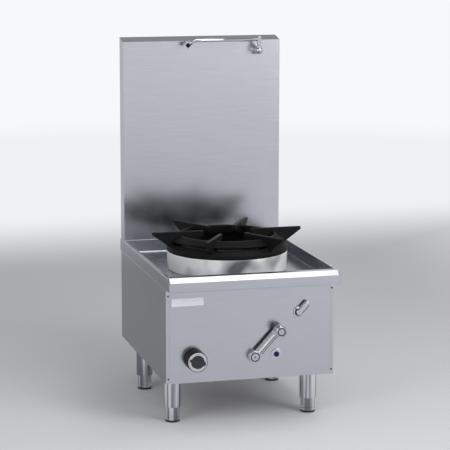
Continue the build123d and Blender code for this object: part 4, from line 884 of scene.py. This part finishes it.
class RANGE_OT_controls(bpy.types.Operator):
    """Gas knob, water lever, small tap and igniter on the front, with the valves behind them"""
    bl_idname = "range.controls"
    bl_label = "Controls"

    def execute(self, context):
        colours = finishes()
        edge = sizes().edge_break
        chrome = chrome_plate(colours)
        forging = satin_forging(colours)
        phenolic = moulded_plastic("black_phenolic", colours.knob, 0.45, 0.12)
        blue = moulded_plastic("blue_abs", colours.button, 0.3, 0.2)
        bright = plain_steel("turned_bright_aluminium", "#d4d5d9", "#bebfc3", 0.25)
        # Painted highlight: a brighter steel for the rib on the lever's arm, standing for light caught along
        # its upper edge.
        polished = plain_steel("painted_highlight_rib_steel", "#f6f7f9", "#e6e7ea", 0.2)
        # Painted shade: a near-black steel for the thin lines, groove rings, hub disc and tap collar, where
        # shade falls.
        dark = plain_steel("painted_shade_groove_steel", "#37383a", "#1f2022", 0.4)
        give(chrome, ["valve_spindle"])
        give(phenolic, ["igniter_body"])
        give(forging, ["lever_cap"], edge)
        give(moulded_plastic("grey_nylon", linear("#222225"), 0.45, 0.5), ["knob_grip"], edge)
        give(turned_metal("forged_brass", "#c6a264", "#a5854c", 0.3),
             ("gas_valve", "valve_plug", "lever_valve", "tap_valve"))
        self.knob(phenolic, bright)
        self.lever(forging, chrome, polished, dark)
        self.tap(forging, dark)
        self.igniter(bright, blue)
        return {"FINISHED"}

    def knob(self, phenolic, bright):
        """Tapered black knob, hollow behind, with a bright ring let into its face."""
        place = facing_front(KNOB_X, FRONT_Y - 4.3, CONTROL_Z)
        bore, face, back, seat, lip, hub = 4.1, 41.5, 35.5, 38.5, 33.4, 22.9
        shell = [
            (bore, 0, 0), (8, 0, 0.5), (8, back, 0), (32.3, back, 1), (33.5, 0, 0.5), (36.5, 0, 0.8),
            (35.3, face, 1.2), (lip, face, 0), (lip, seat, 0), (hub, seat, 0), (hub, face, 0.4),
            (0, face, 0), (0, back, 0), (bore, back, 0)]
        lathe_piece("knob_shell", place, shell, phenolic, "gas_knob", "knob_body")
        proud = 1.6
        ring = square_ring(23, 33.3, seat, face + proud, 0.8)
        lathe_piece("knob_bright_ring", place, ring, bright, "gas_knob", "knob_ring")

    def strip(self, name, place, start, length, layers, material, body, slot):
        """A narrow round-ended strip let into a lever, that starts at a millimetre point of its face."""
        shape = bmesh.new()
        round_ended_bar(shape, place @ upright(*start, 0), length, layers, steps=8)
        keep_flats(shaped_piece(name, shape, material, body))

    def lever(self, forging, chrome, polished, dark):
        """Forged lever with a rib and grooves on its arm and hub, and the turned grip at its end. The rib is
        painted brighter as a highlight; near-black strips along the arm, rings in the grooves and a disc in
        the hub's middle are painted shade.
        """
        shape = bmesh.new()
        place = facing_front(LEVER_X, FRONT_Y - 4, CONTROL_Z, LEVER_ANGLE)
        spindle, radius, face, groove = 5, 21.5, 23, 20
        hub = [
            (0, -24, 0), (spindle, -24, 0.5), (spindle, 0, 0), (radius, 0, 1), (radius, face, 3),
            (16.2, face, 0.3), (15.8, groove, 0.3), (13.2, groove, 0.3), (12.8, face, 0.3), (0, face, 0)]
        turn_on_lathe(shape, hub, place, steps=96)
        arm = [(12.9, 11), (13.5, 11.6), (13.5, 15.4), (12.6, 16.4), (5.6, 19.4), (4.8, 19.6)]
        round_ended_bar(shape, place, LEVER_LENGTH, arm)
        item = shaped_piece("lever_forging", shape, forging, "water_lever")
        keep_flats(item)
        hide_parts("lever_arm")
        rib = [(3.2, 19.4), (3.2, 20.6), (2.5, 21.1)]
        line = [(0.9, 19), (0.9, 19.9)]
        edge_line = [(0.7, 14.6), (0.7, 16.9)]
        # Painted highlight and painted shade: a bright rib along the arm, a near-black line beside it and
        # another along its lower edge.
        for name, start, length, layers, material, slot in (
                ("lever_rib", (24, 1.2), 76, rib, polished, "chrome_plate"),
                ("lever_groove", (24, -4.4), 76, line, dark, "dark_steel"),
                ("lever_edge_line", (24, -13), 80, edge_line, dark, "dark_steel")):
            self.strip(name, place, start, length, layers, material, "water_lever", slot)
        # Painted shade: a near-black ring that fills the hub's groove.
        painted_groove_shade = square_ring(13.3, 15.7, 19.8, 21.2)
        lathe_piece("hub_groove_painted_shade", place, painted_groove_shade, dark, "water_lever", steps=96)
        # Painted shade: a thin near-black disc where the hub's screw socket is dark.
        recess = square_ring(0, 2.8, 24, 24.9, 0.3)
        lathe_piece("hub_socket_painted_shade", place, recess, dark, "water_lever", steps=48)
        x = LEVER_X + LEVER_LENGTH * math.cos(LEVER_ANGLE)
        z = CONTROL_Z + LEVER_LENGTH * math.sin(LEVER_ANGLE)
        end = facing_front(x, FRONT_Y - 24, z)
        grip = [
            (0, 0, 0), (20.5, 0, 0.6), (20.5, 30, 1.5), (16.5, 34, 1.5), (14.4, 34, 0.4),
            (13.8, 30.5, 0.4), (11.2, 30.5, 0.4), (10.6, 33.6, 0.4), (0, 33.6, 0)]
        lathe_piece("lever_handgrip", end, grip, chrome, "water_lever", "lever_grip")
        # Painted shade: a near-black ring that fills the grip's groove.
        painted_groove_shade = square_ring(11.3, 13.7, 30.4, 31.8)
        lathe_piece("grip_groove_painted_shade", end, painted_groove_shade, dark, "water_lever", steps=96)

    def tap(self, forging, dark):
        """Cover plate and rounded lever of the small tap, with a near-black line and ring as painted shade.
        """
        place = facing_front(TAP_X, FRONT_Y, TAP_Z, LEVER_ANGLE)
        plate = [(10.1, 0, 0), (18, 0, 0), (18, 3.5, 0.8), (12, 7, 1), (10.1, 7, 0)]
        lathe_piece("tap_cover_plate", place, plate, forging, "cabinet", "tap_escutcheon")
        shape = bmesh.new()
        spindle, foot = 5, 8
        turn_on_lathe(shape, square_ring(0, spindle, -20, foot), place, steps=48)
        half_width, top, rounding, steps = 11, 20, 5.4, 6
        layers = [(10.6, foot), (half_width, 8.4)]
        for step in range(steps + 1):
            angle = math.radians(90 * step / steps)
            layers.append(
                (half_width - rounding * (1 - math.cos(angle)), top - rounding * (1 - math.sin(angle))))
        round_ended_bar(shape, place, 39, layers)
        item = shaped_piece("tap_handle", shape, forging, "tap_lever")
        keep_flats(item)
        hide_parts("tap_lever")
        # Painted shade: a near-black line along the tap's lever, and a near-black ring on top of its cover
        # plate.
        groove = [(1.1, 17), (1.1, 19.9)]
        self.strip("tap_groove", place, (5, -8), 34, groove, dark, "tap_lever", "dark_steel")
        collar = square_ring(11.6, 13.8, 7.1, 8.1, 0.3)
        lathe_piece("tap_collar_painted_shade", place, collar, dark, "cabinet", steps=96)

    def igniter(self, bright, blue):
        """Bright ring and the dished blue button inside it."""
        place = facing_front(IGNITER_X, FRONT_Y, CONTROL_Z)
        ring = [(9.3, 0, 0), (20, 0, 0), (20, 2.3, 0.5), (18.8, 3, 0.4), (10, 3, 0.5), (9.3, 2.4, 0.3)]
        lathe_piece("igniter_ring", place, ring, bright, "cabinet", "igniter_bezel")
        button = [(0, -7, 0), (9, -7, 0), (9, 5, 1.2), (6.5, 5, 0.6), (5.5, 4.4, 0.6), (0, 4.4, 0)]
        lathe_piece(
            "igniter_push_button", place, button, blue, "igniter_button", "igniter_button")


class RANGE_OT_plumbing(bpy.types.Operator):
    """Water and gas pipes, and the swinging spout on the splashback"""
    bl_idname = "range.plumbing"
    bl_label = "Pipes and spout"

    def execute(self, context):
        give(turned_metal("annealed_copper", "#c98a68", "#a06a50", 0.26),
             ("burner_supply_tube", "link_pipe", "riser_pipe", "water_inlet_pipe"))
        chrome = chrome_plate(finishes())
        self.elbow(chrome)
        self.spout(chrome, plain_steel("blackened_nozzle_steel", "#303134", "#1c1d20", 0.35))
        return {"FINISHED"}

    def elbow(self, chrome):
        """Wall flange, neck with a round end, and the upright socket that the spout turns in."""
        shape = bmesh.new()
        reach, flange, neck, steps = SPLASH_Y - SPOUT_Y, 19, 14.5, 12
        body = [(0, 0, 0), (flange, 0, 0), (flange, 6, 0.8), (16, 9, 0.8), (neck, 9, 0.8), (neck, reach, 0)]
        for step in range(1, steps):
            angle = math.radians(90 * step / steps)
            body.append((neck * math.cos(angle), reach + neck * math.sin(angle), 0))
        body.append((0, reach + neck, 0))
        turn_on_lathe(shape, body, facing_front(SPOUT_X, SPLASH_Y, SPOUT_Z), steps=96)
        socket = [(8.6, 0, 0), (11.5, 0, 0), (11.5, 16, 1), (8.6, 16, 0.5)]
        turn_on_lathe(shape, socket, upright(SPOUT_X, SPOUT_Y, SPOUT_Z), steps=96)
        item = shaped_piece("spout_wall_elbow", shape, chrome, "cabinet")
        keep_flats(item)
        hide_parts("spout_elbow")

    def spout(self, chrome, black):
        """Upright column and the bent tube that swings on it, with a dark collar round its mouth."""
        shape = bmesh.new()
        radius, ring = 8.5, 9.6
        column = [(0, -2, 0), (radius, -2, 0.5), (radius, 17, 0.3), (ring, 17.6, 0.4), (ring, 20.4, 0.4),
                  (radius, 21, 0.3), (radius, 51.5, 2.5), (0, 51.5, 0)]
        turn_on_lathe(shape, column, upright(SPOUT_X, SPOUT_Y, SPOUT_Z), steps=96)
        level = SPOUT_Z + 40
        knee = Vector((SPOUT_X - 249, SPOUT_Y, level))
        mouth = Vector((SPOUT_X - 276, SPOUT_Y, level - 22))
        bent_tube(shape, [Vector((SPOUT_X, SPOUT_Y, level)), knee, mouth], bend=21, radius=7)
        item = shaped_piece("spout_swing_tube", shape, chrome, "spout")
        keep_flats(item)
        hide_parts("spout_tube")
        turn = (knee - mouth).normalized().to_track_quat("Z", "Y").to_matrix().to_4x4()
        collar = [(5.5, -1, 0.3), (8, -1, 0.6), (8, 8, 0.6), (7, 8, 0), (7, 0.5, 0), (5.5, 0.5, 0)]
        lathe_piece("spout_mouth_collar", upright(*mouth) @ turn, collar, black, "spout",
                    "spout_nozzle")


class RANGE_OT_badge(bpy.types.Operator):
    """Plain blank plate at the top left of the front panel"""
    bl_idname = "range.badge"
    bl_label = "Blank badge"

    def execute(self, context):
        low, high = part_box("front_panel")
        thickness = sizes().badge_thickness
        left = low.x + sizes().badge_inset
        top = high.z - sizes().badge_drop
        shape = bmesh.new()
        low_corner = Vector((left, low.y - thickness, top - sizes().badge_height))
        high_corner = Vector((left + sizes().badge_width, low.y, top))
        edges = add_block(shape, low_corner, high_corner)
        corners = [e for e in edges if abs(e.verts[0].co.y - e.verts[1].co.y) > thickness / 2]
        bevel_edges(shape, corners, 2 * MILLIMETRE, 4)
        mesh = bare_mesh("blank_badge", shape)
        item = new_piece("blank_badge", mesh, badge_enamel(finishes()), "cabinet")
        bevel = item.modifiers.new("edge", "BEVEL")
        bevel.width = 0.3 * MILLIMETRE
        bevel.segments = 2
        return {"FINISHED"}


class RANGE_OT_studio(bpy.types.Operator):
    """Pale floor, soft lamps, even sky and the camera at the photograph's angle"""
    bl_idname = "range.studio"
    bl_label = "Studio"

    def execute(self, context):
        studio = context.scene.range_studio
        self.floor(studio.floor_size)
        self.lamp("key_lamp", (2.4, -3.6, 2.5), (2.2, 2.2), studio.key_power)
        self.lamp("front_lamp", (0.3, -1.9, 2.6), (1.6, 0.9), studio.front_power)
        self.lamp("fill_lamp", (-3.2, -2.8, 2.2), (1.6, 2.0), studio.fill_power)
        self.lamp("top_lamp", (0.7, -0.55, 3.2), (2.0, 0.9), studio.top_power)
        self.sky(studio.horizon, studio.ceiling)
        self.camera()
        context.scene.view_settings.view_transform = "Standard"
        return {"FINISHED"}

    def floor(self, side):
        """A large pale square that the range stands on."""
        shape = bmesh.new()
        bmesh.ops.create_grid(shape, x_segments=1, y_segments=1, size=side / 2)
        mesh = bare_mesh("floor", shape)
        mesh.materials.append(floor_paper(finishes()))
        new_object("floor", mesh)

    def lamp(self, name, place, size, power):
        """A rectangular soft box that faces the middle of the range."""
        data = bpy.data.lights.new(name, "AREA")
        data.shape = "RECTANGLE"
        data.size, data.size_y = size
        data.energy = power
        item = new_object(name, data)
        item.location = place
        aim = Vector((0, 0, 0.6)) - item.location
        item.rotation_euler = aim.to_track_quat("-Z", "Y").to_euler()

    def sky(self, horizon, ceiling):
        """The even light from all round: pale walls low down that fade to a dimmer ceiling."""
        world = bpy.data.worlds.new("studio")
        world.use_nodes = True
        tree = world.node_tree
        tree.nodes.clear()
        direction = add_node(tree, "ShaderNodeTexCoord").outputs["Generated"]
        height = add_node(tree, "ShaderNodeSeparateXYZ", (), {0: direction}).outputs["Z"]
        fade = stretch(horizon, ceiling, 0.04, 0.45)
        strength = add_node(tree, "ShaderNodeMapRange", fade, {"Value": height}).outputs["Result"]
        light = add_node(tree, "ShaderNodeBackground", {"Color": linear("#ffffff")}, {"Strength": strength})
        add_node(tree, "ShaderNodeOutputWorld", (), {"Surface": light.outputs["Background"]})
        bpy.context.scene.world = world

    def camera(self):
        """The photograph's place, direction and lens, worked out from the edges of the range in it."""
        yaw, pitch, roll = 0.2614, -0.1742, 0.0016
        data = bpy.data.cameras.new("camera")
        data.sensor_width = 36
        data.lens = 145.06
        item = new_object("camera", data)
        item.location = (-1.6595, -6.197, 1.7788)
        aim = Vector((math.sin(yaw) * math.cos(pitch), math.cos(yaw) * math.cos(pitch), math.sin(pitch)))
        turn = aim.to_track_quat("-Z", "Y").to_matrix() @ Matrix.Rotation(roll, 3, "Z")
        item.rotation_euler = turn.to_euler()
        bpy.context.scene.camera = item


class RANGE_PT_panel(bpy.types.Panel):
    """Steps that dress the range"""
    bl_idname = "RANGE_PT_panel"
    bl_label = "Stockpot range"
    bl_space_type = "VIEW_3D"
    bl_region_type = "UI"
    bl_category = "Range"

    def draw(self, context):
        column = self.layout.column()
        for operator in OPERATORS:
            column.operator(operator.bl_idname)


OPERATORS = (
    RANGE_OT_sheets,
    RANGE_OT_drum,
    RANGE_OT_frame,
    RANGE_OT_trivet,
    RANGE_OT_burner,
    RANGE_OT_controls,
    RANGE_OT_plumbing,
    RANGE_OT_badge,
    RANGE_OT_studio,
)
GROUPS = {"range_colours": RangeColours, "range_sizes": RangeSizes, "range_studio": RangeStudio}


def register():
    """Makes the settings, the steps and the panel known to Blender."""
    for name, group in GROUPS.items():
        bpy.utils.register_class(group)
        setattr(bpy.types.Scene, name, bpy.props.PointerProperty(type=group))
    for item in (*OPERATORS, RANGE_PT_panel):
        bpy.utils.register_class(item)


def unregister():
    """Takes back what register made."""
    for item in (RANGE_PT_panel, *reversed(OPERATORS)):
        bpy.utils.unregister_class(item)
    for name, group in GROUPS.items():
        delattr(bpy.types.Scene, name)
        bpy.utils.unregister_class(group)


def main():
    """Runs every step in order."""
    register()
    for operator in OPERATORS:
        group, step = operator.bl_idname.split(".")
        getattr(getattr(bpy.ops, group), step)()


if __name__ == "__main__":
    main()
